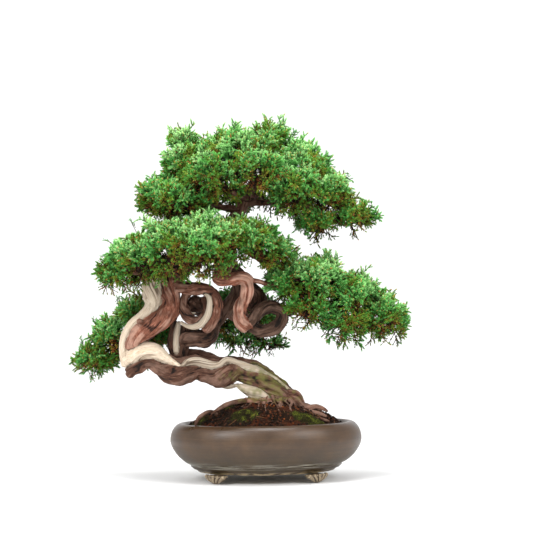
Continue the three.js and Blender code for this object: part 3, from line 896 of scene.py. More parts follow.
def carve_wood(name, strands, voxel_mm, seed, family=None):
    """Melts strands into one skin and gives it relief and the values its finish reads. A family is all
    the strands of the whole wood, of which these are a part."""
    skin = melted(name, [tube(route, 16) for _, _, route in strand_routes(strands)], voxel_mm, 3)
    points = points_of(skin)
    tone, local, margin = belongings(points, strand_routes(family or strands))
    ragged = noise(points / MM / 5.0, seed) * 1.1 + noise(points / MM / 2.0, seed + 3) * 0.5
    dead = smoothly(margin + ragged, -0.6, 0.6)
    twist = local[:, 2] / 55.0
    grain = local.copy()
    grain[:, 0] = local[:, 0] * np.cos(twist) - local[:, 1] * np.sin(twist)
    grain[:, 1] = local[:, 0] * np.sin(twist) + local[:, 1] * np.cos(twist)
    plates = creased(grain / BARK_PLATE_MM, seed + 10)
    furrows = creased(grain / BARK_FURROW_MM, seed + 60)
    flutes = noise(grain / DEAD_FLUTE_MM, seed + 70)
    flakes = layered(grain / (BARK_PLATE_MM * 2.2), seed + 20, 3)
    checks = creased(grain / DEAD_CHECK_MM, seed + 30)
    swell = noise(points / MM / 17, seed + 40)
    gnarls = layered(points / MM / 8.5, seed + 80, 2)
    girth = smoothly(np.hypot(local[:, 0], local[:, 1]), 2.0, 9.0)
    lip = np.exp(-((margin + 2.4) / 1.8) ** 2)
    bark_relief = 0.9 * plates + 1.5 * furrows + 0.7 * flakes + 1.5 * swell + 1.2 * gnarls + 0.9 * lip - 0.2
    dead_relief = 0.35 * checks + 1.1 * flutes + 0.9 * swell - 0.7
    relief = (bark_relief * (1 - dead) + dead_relief * dead) * (0.3 + 0.7 * girth)
    move_points(skin, points + normals_of(skin) * relief[:, None] * MM)
    add_values(skin, "dead", dead)
    add_values(skin, "tone", tone)
    joint = np.exp(-((margin + ragged - 0.2) / 1.0) ** 2)
    add_values(skin, "joint", joint)
    add_values(skin, "grain", grain, "FLOAT_VECTOR")
    bark_depth = 0.5 * plates + 0.7 * furrows + 0.5 * gnarls + 0.4 * flakes
    depth = bark_depth * (1 - dead) + (0.5 * checks + 0.8 * flutes) * dead
    add_values(skin, "relief", np.clip(0.5 + 0.5 * depth, 0, 1))
    place = (points - POT_MIDDLE) / MM
    low_enough = smoothly(-place[:, 2], -205, -185)
    damp = smoothly(place[:, 0], -110, -20) * low_enough * smoothly(place[:, 2], 118, 136)
    moist = noise(points / MM / 16, seed + 50) * 0.7 + noise(points / MM / 5, seed + 51) * 0.5
    add_values(skin, "algae", np.clip(damp * (0.42 + moist + 0.5 * (joint > 0.3)), 0, 1))
    print(name + ":", triangle_count(skin), "triangles")
    return skin


rising_strands = {key: trunk_strands[key] for key in rising_names}
low_strands = {key: value for key, value in trunk_strands.items() if key not in rising_names}
whole_trunk = {**trunk_strands, **root_strands}
low_trunk = carve_wood("low_trunk_wood", low_strands, TRUNK_VOXEL_MM, 3, whole_trunk)
rising_trunk = carve_wood("rising_trunk_wood", rising_strands, TRUNK_VOXEL_MM, 3, whole_trunk)
coil_wood = carve_wood("coiled_limb_wood", coil_strands, LIMB_VOXEL_MM, 71)
hook_wood = carve_wood("hooked_limb_wood", hook_strands, LIMB_VOXEL_MM, 131)

# %% [markdown]
# One finish serves all the wood and reads those values. Bark is a red-brown that greys with age, with a
# painted highlight on its raised plates and painted shade, almost black, in its furrows. Deadwood is
# cream with long grey streaks and painted shade in its checks and hollows. Where the low trunk stays
# damp, green algae creep over both.

# %% The wood's finish


def wood_finish(name):
    wood = Finish(name)
    grain = wood.attribute("grain", "Vector")
    relief = wood.attribute("relief")
    tone = wood.attribute("tone")
    dead = wood.attribute("dead")
    place = wood.place()
    fibres = wood.noise(wood.stretched(grain, (0.9, 0.9, 0.07)), 1.0, 9.0, 0.7)
    flecks = wood.noise(wood.stretched(grain, (0.35, 0.35, 0.06)), 1.0, 6.0, 0.7)
    blotches = wood.noise(place, 55.0, 4.0, 0.6)
    old = wood.ramp(fibres, [(0.30, srgb(24, 16, 11)), (0.46, srgb(52, 37, 28)), (0.60, srgb(76, 56, 44)),
                             (0.76, srgb(108, 84, 68))])
    fresh = wood.ramp(fibres, [(0.30, srgb(62, 32, 24)), (0.44, srgb(112, 66, 50)), (0.58, srgb(150, 96, 76)),
                               (0.74, srgb(206, 160, 138))])
    bark = wood.mix(tone, old, fresh)
    pale_and_painted_highlight = wood.maths("ADD", wood.maths("MULTIPLY", tone, 0.8), 0.2)
    flecked = wood.maths("MULTIPLY", wood.ramp(flecks, [(0.54, 0.0), (0.70, 0.5)]), pale_and_painted_highlight)
    bark = wood.mix(flecked, bark, srgb(176, 126, 104))
    # Painted highlight: raised bark plates are painted paler, more so on fresh bark.
    painted_plate_highlight = wood.maths("MULTIPLY", wood.ramp(relief, [(0.62, 0.0), (0.90, 0.5)]), pale_and_painted_highlight)
    bark = wood.mix(painted_plate_highlight, bark, srgb(204, 166, 146))
    bark = wood.mix(wood.ramp(blotches, [(0.35, 0.5), (0.6, 0.0)]), bark, srgb(40, 27, 20))
    # Painted shade: the deepest furrows of the bark are painted almost black.
    bark = wood.mix(wood.ramp(relief, [(0.14, 0.92), (0.36, 0.0)]), bark, srgb(16, 10, 7))
    streaks = wood.noise(wood.stretched(grain, (0.9, 0.9, 0.012)), 1.0, 7.0, 0.6)
    broad = wood.noise(wood.stretched(grain, (0.16, 0.16, 0.012)), 1.0, 4.0, 0.55)
    bleached = wood.ramp(streaks, [(0.28, srgb(146, 122, 96)), (0.42, srgb(206, 186, 162)),
                                   (0.58, srgb(226, 211, 190)), (0.8, srgb(236, 225, 209))])
    bleached = wood.mix(wood.ramp(broad, [(0.50, 0.0), (0.66, 0.5)]), bleached, srgb(166, 146, 126))
    bleached = wood.mix(wood.ramp(broad, [(0.30, 0.45), (0.44, 0.0)]), bleached, srgb(206, 168, 128))
    # Painted shade: the deadwood's checks and hollows are painted darker.
    bleached = wood.mix(wood.ramp(relief, [(0.16, 0.8), (0.34, 0.0)]), bleached, srgb(86, 62, 42))
    bleached = wood.mix(1.0, bleached, wood.ramp(tone, [(0.3, 0.55), (0.9, 0.95)]), "MULTIPLY")
    colour = wood.mix(dead, bark, bleached)
    algae = wood.attribute("algae")
    colour = wood.mix(wood.ramp(algae, [(0.30, 0.0), (0.95, 0.65)]), colour, srgb(104, 106, 50))
    joint = wood.ramp(wood.attribute("joint"), [(0.35, 0.0), (0.9, 0.85)])
    colour = wood.mix(joint, colour, srgb(34, 24, 18))
    fine = wood.bump(fibres, 0.7, 0.7)
    fine = wood.bump(flecks, 0.8, 0.5, fine)
    return wood.done(Base_Color=colour, Roughness=0.8, Specular_IOR_Level=0.2, Normal=fine)


living_wood = wood_finish("juniper_wood")
for piece, slot, nodes in (
    (low_trunk, "bark", ("trunk", "deadwood_shoulder", "standing_stem")),
    (rising_trunk, "bark", ("trunk",)),
    (coil_wood, "dark_bark", ("coiled_limb", "hidden_limb")),
    (hook_wood, "bark", ("hooked_limb", "knuckle_limb")),
):
    dress(piece, living_wood)
    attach(piece, "root")
    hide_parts(*nodes)
print("wood finish:", len(living_wood.node_tree.nodes), "nodes")

# %% [markdown]
# ## The soil
# Bonsai soil is a sieved mix of fired-clay grains, lava and humus, heaped up to a mound round the trunk.
# Only its top shows. A solid with the CAD's outline fills the pot, its top is roughened, and loose
# grains two to five millimetres wide lie all over it, with fallen needles and bits of twig.

# %% The mound
SOIL_EDGE_Z = 89
SOIL_PEAK_Z = 133
SOIL_HALF_WIDTH = 131


def mound_height(x_mm, y_mm):
    """The mound's height, in millimetres, at places measured from the pot's middle."""
    out = np.hypot(x_mm, np.asarray(y_mm) / POT_ASPECT) / SOIL_HALF_WIDTH
    return SOIL_EDGE_Z + (SOIL_PEAK_Z - SOIL_EDGE_Z) * (1 - np.minimum(out, 1)**1.9)


soil_outline = [(98, 31.5), (118, 34), (135, 45), (144, 66), (139, 79), (132, 86)]
for out in np.linspace(1, 0.01, 60):
    soil_outline.append((SOIL_HALF_WIDTH * out, SOIL_EDGE_Z + (SOIL_PEAK_Z - SOIL_EDGE_Z) * (1 - out**1.9)))
soil = make_mesh("soil_mound", *oval_loft(soil_outline, 160))
soil_points = points_of(soil)
top = smoothly(soil_points[:, 2] / MM, 86, 92)
uneven = layered(soil_points / MM / 9, 4, 3) * 2.2 + noise(soil_points / MM / 30, 8) * 2.0
soil_points[:, 2] += top * uneven * MM
move_points(soil, soil_points)
earth = Finish("damp_soil")
place = earth.place()
crumbs = earth.noise(place, 330.0, 6.0, 0.7)
patches = earth.noise(place, 26.0, 4.0, 0.6)
colour = earth.ramp(crumbs, [(0.32, srgb(10, 6, 4)), (0.5, srgb(26, 17, 9)), (0.66, srgb(50, 31, 16))])
colour = earth.mix(earth.ramp(patches, [(0.48, 0.0), (0.66, 0.6)]), colour, srgb(92, 44, 24))
crumbly = earth.bump(crumbs, 1.6, 1.0)
dress(soil, earth.done(Base_Color=colour, Roughness=0.95, Specular_IOR_Level=0.1, Normal=crumbly))
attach(soil, "root")
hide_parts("soil")
print("soil:", triangle_count(soil), "triangles")

# %% [markdown]
# Surface roots leave the collar, run down the mound and dive. The thick ones are listed one by one, and
# thin rootlets fan out between them, each hugging the mound and sinking into it at its tip.

# %% The surface roots
ROOTLETS = 26
ROOT_VOXEL_MM = 0.85
root_rng = np.random.default_rng(23)
for number in range(ROOTLETS):
    way = root_rng.uniform(-0.75 * math.pi, 0.15 * math.pi)
    start = np.array((14 + 34 * math.cos(way), -2 + 20 * math.sin(way)))
    length = root_rng.uniform(26, 62)
    turn, width = root_rng.normal(0, 0.02), root_rng.uniform(0.9, 2.2)
    rows, spot = [], start
    for step in range(8):
        share = step / 7
        rise = (1 - share)**2 * root_rng.uniform(4, 9) + width * (0.5 - 1.3 * share)
        rows.append((*spot, mound_height(*spot) + rise, width * (1 - 0.55 * share)))
        way += turn * length / 7 + root_rng.normal(0, 0.3)
        spot = spot + length / 7 * np.array((math.cos(way), math.sin(way)))
    root_strands[f"rootlet_{number}"] = (BARK, root_rng.uniform(0.0, 0.45), rows)
surface_roots = carve_wood("surface_roots", root_strands, ROOT_VOXEL_MM, 401)
dress(surface_roots, living_wood)
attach(surface_roots, "root")
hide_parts("trunk")

# %% [markdown]
# Thousands of small things share a way of being coloured: their corners point to a place on a painter's
# map, where hues lie across and lightness runs up. Grains, litter and moss each have such a map.

# %% Palettes and loose things


def palette_finish(name, hues, roughness):
    finish = Finish(name)
    spot = finish.tree.nodes.new("ShaderNodeUVMap")
    spot.uv_map = "OFBake"
    parts = finish.add("ShaderNodeSeparateXYZ", Vector=spot.outputs["UV"])
    hue = finish.ramp(parts.outputs["X"], hues)
    light = finish.ramp(parts.outputs["Y"], [(0.0, 0.12), (0.5, 0.85), (1.0, 1.5)])
    colour = finish.mix(1.0, hue, light, "MULTIPLY")
    return finish.done(Base_Color=colour, Roughness=roughness, Specular_IOR_Level=0.2)


class Heap:
    """Collects many small closed shapes with their places on a palette, and makes one mesh."""

    def __init__(self):
        self.points, self.triangles, self.maps, self.count = [], [], [], 0

    def add(self, points, triangles, places_on_map):
        self.points.append(points)
        self.triangles.append(triangles + self.count)
        self.maps.append(places_on_map)
        self.count += len(points)

    def finished(self, name, material):
        triangles = np.vstack(self.triangles)
        places_on_map = np.clip(np.vstack(self.maps), 0.004, 0.996)
        made = make_mesh(name, placed(np.vstack(self.points)), triangles)
        made.data.uv_layers.new(name="OFBake").data.foreach_set(
            "uv", places_on_map[triangles.ravel()].astype(np.float32).ravel())
        dress(made, material)
        return made


def on_map(count, across, up):
    """Places on the map for some points. Small shifts keep each face's place from closing to a point."""
    shift_across = np.tile([0.0, 0.006, 0.002, 0.005, 0.001], count)[:count]
    shift_up = np.tile([0.0, 0.002, 0.007], count)[:count]
    places_on_map = np.column_stack([np.full(count, across), np.full(count, up)])
    return places_on_map + np.column_stack([shift_across, shift_up])


print("three points on the map:", on_map(3, 0.5, 0.2).tolist())


# %% The loose grains
GRAINS = 2100
PEBBLE_SHAPES = 6


def turned_randomly(points, rng):
    turn, _ = np.linalg.qr(rng.normal(0, 1, (3, 3)))
    turn *= np.sign(np.linalg.det(turn))
    return points @ turn.T


def pebble(seed):
    """A rough grain about one unit wide, from a ball with 80 faces."""
    shape = bmesh.new()
    bmesh.ops.create_icosphere(shape, subdivisions=2, radius=0.5)
    points = np.array([vertex.co for vertex in shape.verts])
    triangles = np.array([[vertex.index for vertex in face.verts] for face in shape.faces])
    shape.free()
    points *= (1 + 0.32 * noise(points * 2.6 + seed * 7.7, seed))[:, None]
    return points * (1.0, 0.86, 0.74), triangles


grain_rng = np.random.default_rng(12)
pebbles = [pebble(number) for number in range(PEBBLE_SHAPES)]
grain_heap = Heap()
for _ in range(GRAINS):
    angle, out = grain_rng.uniform(0, 2 * math.pi), math.sqrt(grain_rng.uniform(0.02, 0.99))
    x = out * (SOIL_HALF_WIDTH - 2) * math.cos(angle)
    y = out * (SOIL_HALF_WIDTH - 2) * POT_ASPECT * math.sin(angle)
    width = grain_rng.uniform(2.2, 4.8)
    points, triangles = pebbles[grain_rng.integers(PEBBLE_SHAPES)]
    points = turned_randomly(points, grain_rng) * width
    points = points + (x, y, mound_height(x, y) + width * 0.22 + grain_rng.normal(0, 0.7))
    red_area = math.exp(-((x - 22) / 34)**2 - ((y + 62) / 30)**2)
    hue = grain_rng.uniform(0.0, 0.5) + red_area * grain_rng.uniform(0.0, 0.5)
    light = grain_rng.uniform(0.06, 0.84) + 0.1 * noise(points / 0.8, 3)
    grain_heap.add(points, triangles, on_map(len(points), hue, light))
print("grains:", GRAINS, "of", PEBBLE_SHAPES, "shapes")

# %% The litter and the grains' finish
LITTER = 170
for _ in range(LITTER):
    angle, out = grain_rng.uniform(0, 2 * math.pi), math.sqrt(grain_rng.uniform(0.02, 0.97))
    x = out * SOIL_HALF_WIDTH * math.cos(angle)
    y = out * SOIL_HALF_WIDTH * POT_ASPECT * math.sin(angle)
    length, turn = grain_rng.uniform(4, 15), grain_rng.uniform(0, 2 * math.pi)
    rows = []
    for t in (-0.5, 0.0, 0.5):
        bit_x, bit_y = x + t * length * math.cos(turn), y + t * length * math.sin(turn)
        rise = 1.6 + grain_rng.uniform(0, 1.4)
        rows.append((bit_x, bit_y, mound_height(bit_x, bit_y) + rise, 0.35 + length * 0.02))
    points, triangles = tube(np.array(rows), 5)
    hue = grain_rng.choice([0.15, 0.30, 0.45, 0.78])
    grain_heap.add(points, triangles, on_map(len(points), hue, 0.5))
grain_finish = palette_finish("soil_grains", [
    (0.0, srgb(18, 12, 8)), (0.2, srgb(34, 22, 14)), (0.4, srgb(58, 34, 20)), (0.55, srgb(86, 44, 22)),
    (0.7, srgb(132, 66, 26)), (0.8, srgb(104, 76, 50)), (0.9, srgb(170, 88, 32)),
    (1.0, srgb(190, 118, 52))], 0.9)
grains = grain_heap.finished("soil_grains", grain_finish)
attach(grains, "root")
print("grains and litter:", triangle_count(grains), "triangles")

# %% [markdown]
# ## The moss
# Moss keeps the mound from washing away. It grows as low cushions of tiny upright leaves. Each cushion is a
# lumpy pad that hugs the mound, covered in a few thousand short blades that lean every way.

# %% The moss cushions
BLADES = 3200
NEEDLE_FACES = np.array([(0, 1, 3), (1, 2, 3), (2, 0, 3), (0, 2, 1)])


def unit(vectors):
    """Vectors brought to a length of one."""
    return vectors / (np.linalg.norm(vectors, axis=-1, keepdims=True) + 1e-12)


moss_patches = {
    "left": (-108, -36, 102, 15, 16, 7),
    "front": (-34, -70, 110, 24, 16, 7),
    "front_right": (66, -68, 103, 30, 14, 7),
    "shoulder": (-62, -14, 121, 22, 16, 8),
    "back_left": (-70, 50, 112, 30, 20, 7),
    "back_right": (50, 58, 112, 34, 18, 7),
}
moss_finish = palette_finish("moss", [
    (0.0, srgb(30, 20, 10)), (0.25, srgb(44, 36, 14)), (0.5, srgb(52, 54, 18)), (0.75, srgb(84, 92, 28)),
    (1.0, srgb(140, 146, 54))], 0.95)
for number, (name, (x, y, z, half_x, half_y, half_z)) in enumerate(moss_patches.items()):
    moss_rng = np.random.default_rng(500 + number)
    heap = Heap()
    points, triangles = blob((0, 0, 0), (half_x, half_y, half_z), 40)
    edge = 1 + 0.35 * noise(points / 9 + number * 5, 60 + number)
    points = points * np.column_stack([edge, edge, np.ones(len(points))]) + (x, y, 0)
    points[:, 2] = mound_height(points[:, 0], points[:, 1]) + np.clip(points[:, 2] * 0.42, -2.0, 4.0)
    points[:, 2] += 1.0 * noise(points / 4.0, 70)
    heap.add(points, triangles, on_map(len(points), 0.25, 0.35))
    angle = moss_rng.uniform(0, 2 * math.pi, BLADES)
    out = np.sqrt(moss_rng.uniform(0, 1, BLADES)) * (1 + 0.18 * moss_rng.normal(0, 1, BLADES) * 0.4)
    root_x, root_y = x + out * half_x * np.cos(angle), y + out * half_y * np.sin(angle)
    dome = np.sqrt(np.maximum(0.02, 1 - np.minimum(out, 1)**2)) * half_z * 0.42
    root = np.column_stack([root_x, root_y, mound_height(root_x, root_y) + dome])
    root[:, 2] += 1.0 * noise(root / 4.0, 70)
    lean_x, lean_y = moss_rng.normal(0, 0.45, BLADES), moss_rng.normal(0, 0.45, BLADES)
    lean = unit(np.column_stack([lean_x, lean_y, np.ones(BLADES)]))
    side = unit(np.cross(lean, moss_rng.normal(0, 1, lean.shape)))
    other = np.cross(lean, side)
    tall = moss_rng.uniform(1.2, 3.0, BLADES)[:, None]
    corners = [root + side * 0.42, root - side * 0.42, root + other * 0.45, root + lean * tall]
    corners = np.stack(corners, axis=1)
    hue = np.clip(0.42 + 0.5 * noise(root / 7, 77) + moss_rng.normal(0, 0.14, BLADES), 0.02, 0.97)
    across = np.repeat(hue, 4) + np.tile([0.0, 0.008, 0.004, 0.004], BLADES)
    up = np.tile([0.08, 0.08, 0.14, 0.92], BLADES)
    blade_triangles = (NEEDLE_FACES[None] + 4 * np.arange(BLADES)[:, None, None]).reshape(-1, 3)
    heap.add(corners.reshape(-1, 3), blade_triangles, np.column_stack([across, up]))
    cushion = heap.finished("moss_cushion_" + name, moss_finish)
    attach(cushion, "root")
    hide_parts("moss_" + name)
print("moss cushions:", len(moss_patches), "each with", triangle_count(cushion), "triangles")

# %% [markdown]
# ## Under the soil
# A square of plastic net keeps the soil in over each drain hole, and a bent aluminium wire holds it. Their
# CAD shapes are right, so they stay and only get a finish: slightly rough black plastic, and drawn wire.

# %% The nets and their clips
net = Finish("net_plastic")
net_marks = net.noise(net.place(), 700.0, 4.0, 0.6)
net_finish = net.done(
    Base_Color=net.ramp(net_marks, [(0.3, srgb(18, 18, 19)), (0.7, srgb(38, 38, 40))]),
    Roughness=net.ramp(net_marks, [(0.3, 0.45), (0.7, 0.65)]),
    Normal=net.bump(net_marks, 0.1, 0.5))
wire = Finish("clip_wire")
wire_marks = wire.noise(wire.stretched(wire.place(), (60, 60, 1400)), 1.0, 4.0, 0.6)
wire_finish = wire.done(
    Base_Color=wire.ramp(wire_marks, [(0.3, srgb(132, 130, 126)), (0.7, srgb(190, 188, 184))]),
    Metallic=1.0,
    Roughness=wire.ramp(wire_marks, [(0.3, 0.28), (0.7, 0.45)]))
for side in ("left", "right"):
    dress(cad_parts["drain_net_" + side], net_finish)
    dress(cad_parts["drain_clip_" + side], wire_finish)
print("nets and clips dressed")

# %% [markdown]
# ## The foliage
# Creeping juniper carries awl-shaped needles in whorls of three, about six millimetres long, on shoots that
# fork in a spray like a small hand. A pad is hundreds of such sprays. Hair particles would be quicker to
# make, but they can't be exported as closed solids, so a few sprays are modelled needle by needle, and
# each pad is grown from turned, scaled and tinted copies of them, joined into one mesh.
# A needle is the smallest closed solid that tapers: three corners at its base and one tip.

# %% One shoot
WHORL_SPACING_MM = 2.2


def shoot_route(start, direction, length, rng, bend=0.25):
    """Points along one shoot, a little bent."""
    steps = max(3, int(length / WHORL_SPACING_MM))
    drift = rng.normal(0, bend, 3)
    route = [np.array(start, float)]
    for step in range(steps):
        direction = unit(direction + drift * (step / steps) * 0.35 + rng.normal(0, 0.05, 3))
        route.append(route[-1] + direction * WHORL_SPACING_MM)
    return np.array(route)


print("points on a shoot of 32 mm:", len(shoot_route((0, 0, 0), (0, 0, 1), 32, np.random.default_rng(1))))

# %% Growing one spray
NEEDLE_LENGTH_MM = 6.2
NEEDLE_WIDTH_MM = 1.8


def grow_spray(seed, length_mm=32, side_shoots=5, fullness=1.0):
    """One spray that grows along +Z, in millimetres: points, triangles, and each point's age and reach.
    Age runs from 0, old wood at the base, to 1, this year's tip. Reach runs along each needle."""
    rng = np.random.default_rng(seed)
    shoots = [(shoot_route((0, 0, 0), np.array((0.0, 0.0, 1.0)), length_mm, rng), 0.0)]
    main = shoots[0][0]
    flat = rng.uniform(0, math.pi)
    for number in range(side_shoots):
        spot = 0.22 + 0.60 * (number + rng.uniform(0.2, 0.8)) / side_shoots
        start = main[int(spot * (len(main) - 1))]
        turn = flat + math.pi * number + rng.normal(0, 0.6)
        lean = rng.uniform(0.5, 0.85)
        aside = (math.cos(turn) * math.sin(lean), math.sin(turn) * math.sin(lean))
        direction = np.array((*aside, math.cos(lean)))
        side_length = rng.uniform(11, 16) * (1.1 - 0.4 * spot)
        shoots.append((shoot_route(start, direction, side_length, rng), spot * 0.75))
    bases, tips, ages, sideways, stems = [], [], [], [], []
    for route, first_age in shoots:
        steps = len(route) - 1
        stems.append(np.column_stack([route, np.linspace(0.8, 0.4, len(route))]))
        along = unit(np.gradient(route, axis=0))
        for step in range(1, steps + 1):
            share = step / steps
            if rng.random() > fullness * (0.45 + 0.75 * share):
                continue
            axis = along[step]
            side = unit(np.cross(axis, (0.31, 0.17, 0.9) if abs(axis[2]) < 0.9 else (1.0, 0.2, 0.1)))
            other = np.cross(axis, side)
            for needle in range(3):
                turn = needle * 2 * math.pi / 3 + step * math.pi / 3 + rng.normal(0, 0.2)
                radial = side * math.cos(turn) + other * math.sin(turn)
                lean = (0.92 - 0.55 * share) * rng.uniform(0.85, 1.15)
                direction = axis * math.cos(lean) + radial * math.sin(lean)
                reach = NEEDLE_LENGTH_MM * rng.uniform(0.75, 1.05) * (1.0 - 0.22 * share)
                bases.append(route[step] + radial * 0.2)
                tips.append(route[step] + direction * reach)
                sideways.append(unit(np.cross(direction, radial) + 1e-6))
                ages.append(min(1.0, first_age + share * (1.0 - first_age)))
    bases, tips, sideways, ages = map(np.array, (bases, tips, sideways, ages))
    direction = unit(tips - bases)
    third = np.cross(direction, sideways)
    half = NEEDLE_WIDTH_MM / 2
    third_corner = bases + third * half * 1.1 + direction * 0.6
    corners = np.stack([bases + sideways * half, bases - sideways * half, third_corner, tips], axis=1)
    count = len(bases)
    points = corners.reshape(-1, 3)
    triangles = (NEEDLE_FACES[None] + 4 * np.arange(count)[:, None, None]).reshape(-1, 3)
    point_age = np.repeat(ages, 4)
    point_reach = np.tile([0.05, 0.05, 0.12, 1.0], count)
    for route in stems:
        stem_points, stem_triangles = tube(np.vstack([route[:-1:3], route[-1:]]), 3)
        triangles = np.vstack([triangles, stem_triangles + len(points)])
        points = np.vstack([points, stem_points])
        point_age = np.append(point_age, np.full(len(stem_points), -1.0))
        point_reach = np.append(point_reach, np.linspace(0.2, 0.8, len(stem_points)))
    return points, triangles, point_age, point_reach


full_sprays = [grow_spray(100 + number, 27 + 2 * number % 9, 6) for number in range(9)]
thin_sprays = [grow_spray(200 + number, 26 + 3 * number % 7, 4, 0.5) for number in range(5)]
long_sprays = [grow_spray(300 + number, 42, 6, 0.95) for number in range(3)]
for title, kinds in (("full", full_sprays), ("thin", thin_sprays), ("long", long_sprays)):
    print(title, "sprays:", len(kinds), "with", [len(kind[1]) for kind in kinds], "triangles")

# %% [markdown]
# The needles' palette runs from twig brown through dead orange and olive to green and the pale tips
# of this year. Each needle is painted dark at its base and light at its tip: painted shade deep in the
# pad and painted light at its outside. The colour stays with the needles in any renderer.

# %% The needles' finish
DEAD_NEEDLE = 0.12
needle_material = palette_finish("juniper_needles", [
    (0.00, srgb(44, 30, 20)), (0.06, srgb(80, 54, 34)), (0.09, srgb(196, 110, 54)),
    (0.15, srgb(216, 148, 82)), (0.19, srgb(156, 138, 42)), (0.30, srgb(130, 146, 42)),
    (0.42, srgb(90, 134, 38)), (0.55, srgb(72, 144, 56)), (0.70, srgb(92, 168, 78)),
    (0.85, srgb(120, 182, 98)), (1.00, srgb(160, 206, 132))], 0.6)
print("needle palette: dead needles at", DEAD_NEEDLE)

# %% [markdown]
# A pad is not a ball. Its branchlets end in tufts that fan outwards and up, with dark gaps between, and
# its underside is thin, brown and twiggy. So tuft places are scattered over every clump, those
# that another clump buries are dropped, and each tuft gets three or four sprays from one base. Twigs then
# join every tuft to the wood by the shortest way that is already there, and thicken with
# what they carry, as in a real tree.

# %% Scattering tufts over the clumps


def scattered(count, rng):
    """Even directions over a ball, shaken a little."""
    number = np.arange(count) + 0.5
    rise = 1 - 2 * number / count
    turn = number * math.pi * (1 + 5**0.5)
    level = np.sqrt(np.maximum(0, 1 - rise**2))
    even = np.column_stack([level * np.cos(turn), level * np.sin(turn), rise])
    return unit(even + rng.normal(0, 0.12, (count, 3)))


def tufts_of(clump, everything, rng, spacing_mm, depth=0.0):
    """Places and directions of tufts over one clump, where no other clump buries them, in millimetres."""
    centre, half = clump[:3], clump[3:] * (1 - depth)
    pairs = (half[0] * half[1])**1.6 + (half[0] * half[2])**1.6 + (half[1] * half[2])**1.6
    area = 4 * math.pi * (pairs / 3)**(1 / 1.6)
    ways = scattered(max(4, int(area / spacing_mm**2)), rng)
    spots = centre + ways * half
    buried = np.zeros(len(spots), bool)
    for other in everything:
        if not np.array_equal(other, clump):
            buried |= (((spots - other[:3]) / (other[3:] * (1 - depth)))**2).sum(1) < 0.82
    return spots[~buried], unit(ways / half)[~buried]


ball = np.array((0.0, 0.0, 0.0, 50.0, 50.0, 50.0))
print("tufts on a ball 100 mm wide:", len(tufts_of(ball, [], np.random.default_rng(1), 21)[0]))

# %% A heap of sprays and twigs


def turned_frames(directions, rng):
    """Turning matrices that take +Z to each direction, with a random roll."""
    side = unit(np.cross(directions, rng.normal(0, 1, directions.shape)))
    return np.stack([side, np.cross(directions, side), directions], axis=2)


class Pad(Heap):
    """A heap of sprays and the twigs that carry them."""

    def __init__(self, seed):
        super().__init__()
        self.rng = np.random.default_rng(seed)
        self.spray_count = 0

    def sprays(self, kinds, places, directions, sizes, hues, pale):
        """Copies of the sprays. A hue is a place across the palette, and pale lifts the lightness."""
        places, directions, sizes, hues, pale = map(np.asarray, (places, directions, sizes, hues, pale))
        which = self.rng.integers(0, len(kinds), len(places))
        self.spray_count += len(places)
        frames = turned_frames(directions, self.rng)
        for number, (points, triangles, age, reach) in enumerate(kinds):
            chosen = np.flatnonzero(which == number)
            if not len(chosen):
                continue
            copies = np.einsum("nij,pj->npi", frames[chosen], points) * sizes[chosen, None, None]
            copies += places[chosen, None]
            needles = len(age[age >= 0]) // 4
            shiver = np.repeat(self.rng.normal(0, 0.035, (len(chosen), needles)), 4, axis=1)
            brown = np.repeat(self.rng.random((len(chosen), needles)) < 0.04, 4, axis=1)
            grown = age[None, :4 * needles]
            across = hues[chosen, None] + 0.46 * (grown - 0.72) + shiver
            across = np.where(brown, DEAD_NEEDLE + shiver * 0.3, np.clip(across, 0.09, 0.985))
            stem_points = len(age) - 4 * needles
            stems = np.tile(np.linspace(0.01, 0.05, stem_points), (len(chosen), 1))
            across = np.concatenate([across, stems], axis=1)
            # Lightness: painted shade at each needle's base and on older growth, painted light at its tip,
            # plus the tuft's painted light or shade from pale.
            up = reach[None] * 0.40 + pale[chosen, None] + np.where(age >= 0, 0.46 * age, 0.2)[None]
            up = np.clip(up, 0.02, 0.98)
            total = len(points)
            turned = (triangles[None] + total * np.arange(len(chosen))[:, None, None]).reshape(-1, 3)
            self.add(copies.reshape(-1, 3), turned, on_map(total * len(chosen), across.ravel(), up.ravel()))

    def twig(self, rows):
        points, triangles = tube(rows, 5)
        brown = self.rng.uniform(0.0, 0.03)
        self.add(points, triangles, on_map(len(points), brown, np.linspace(0.25, 0.5, len(points))))


sample_pad = Pad(1)
sample_pad.sprays(thin_sprays, np.zeros((3, 3)), np.eye(3), np.ones(3), np.full(3, 0.5), np.zeros(3))
print("a tuft of three thin sprays:", sum(len(part) for part in sample_pad.triangles), "triangles")

# %% Growing the twigs of a pad


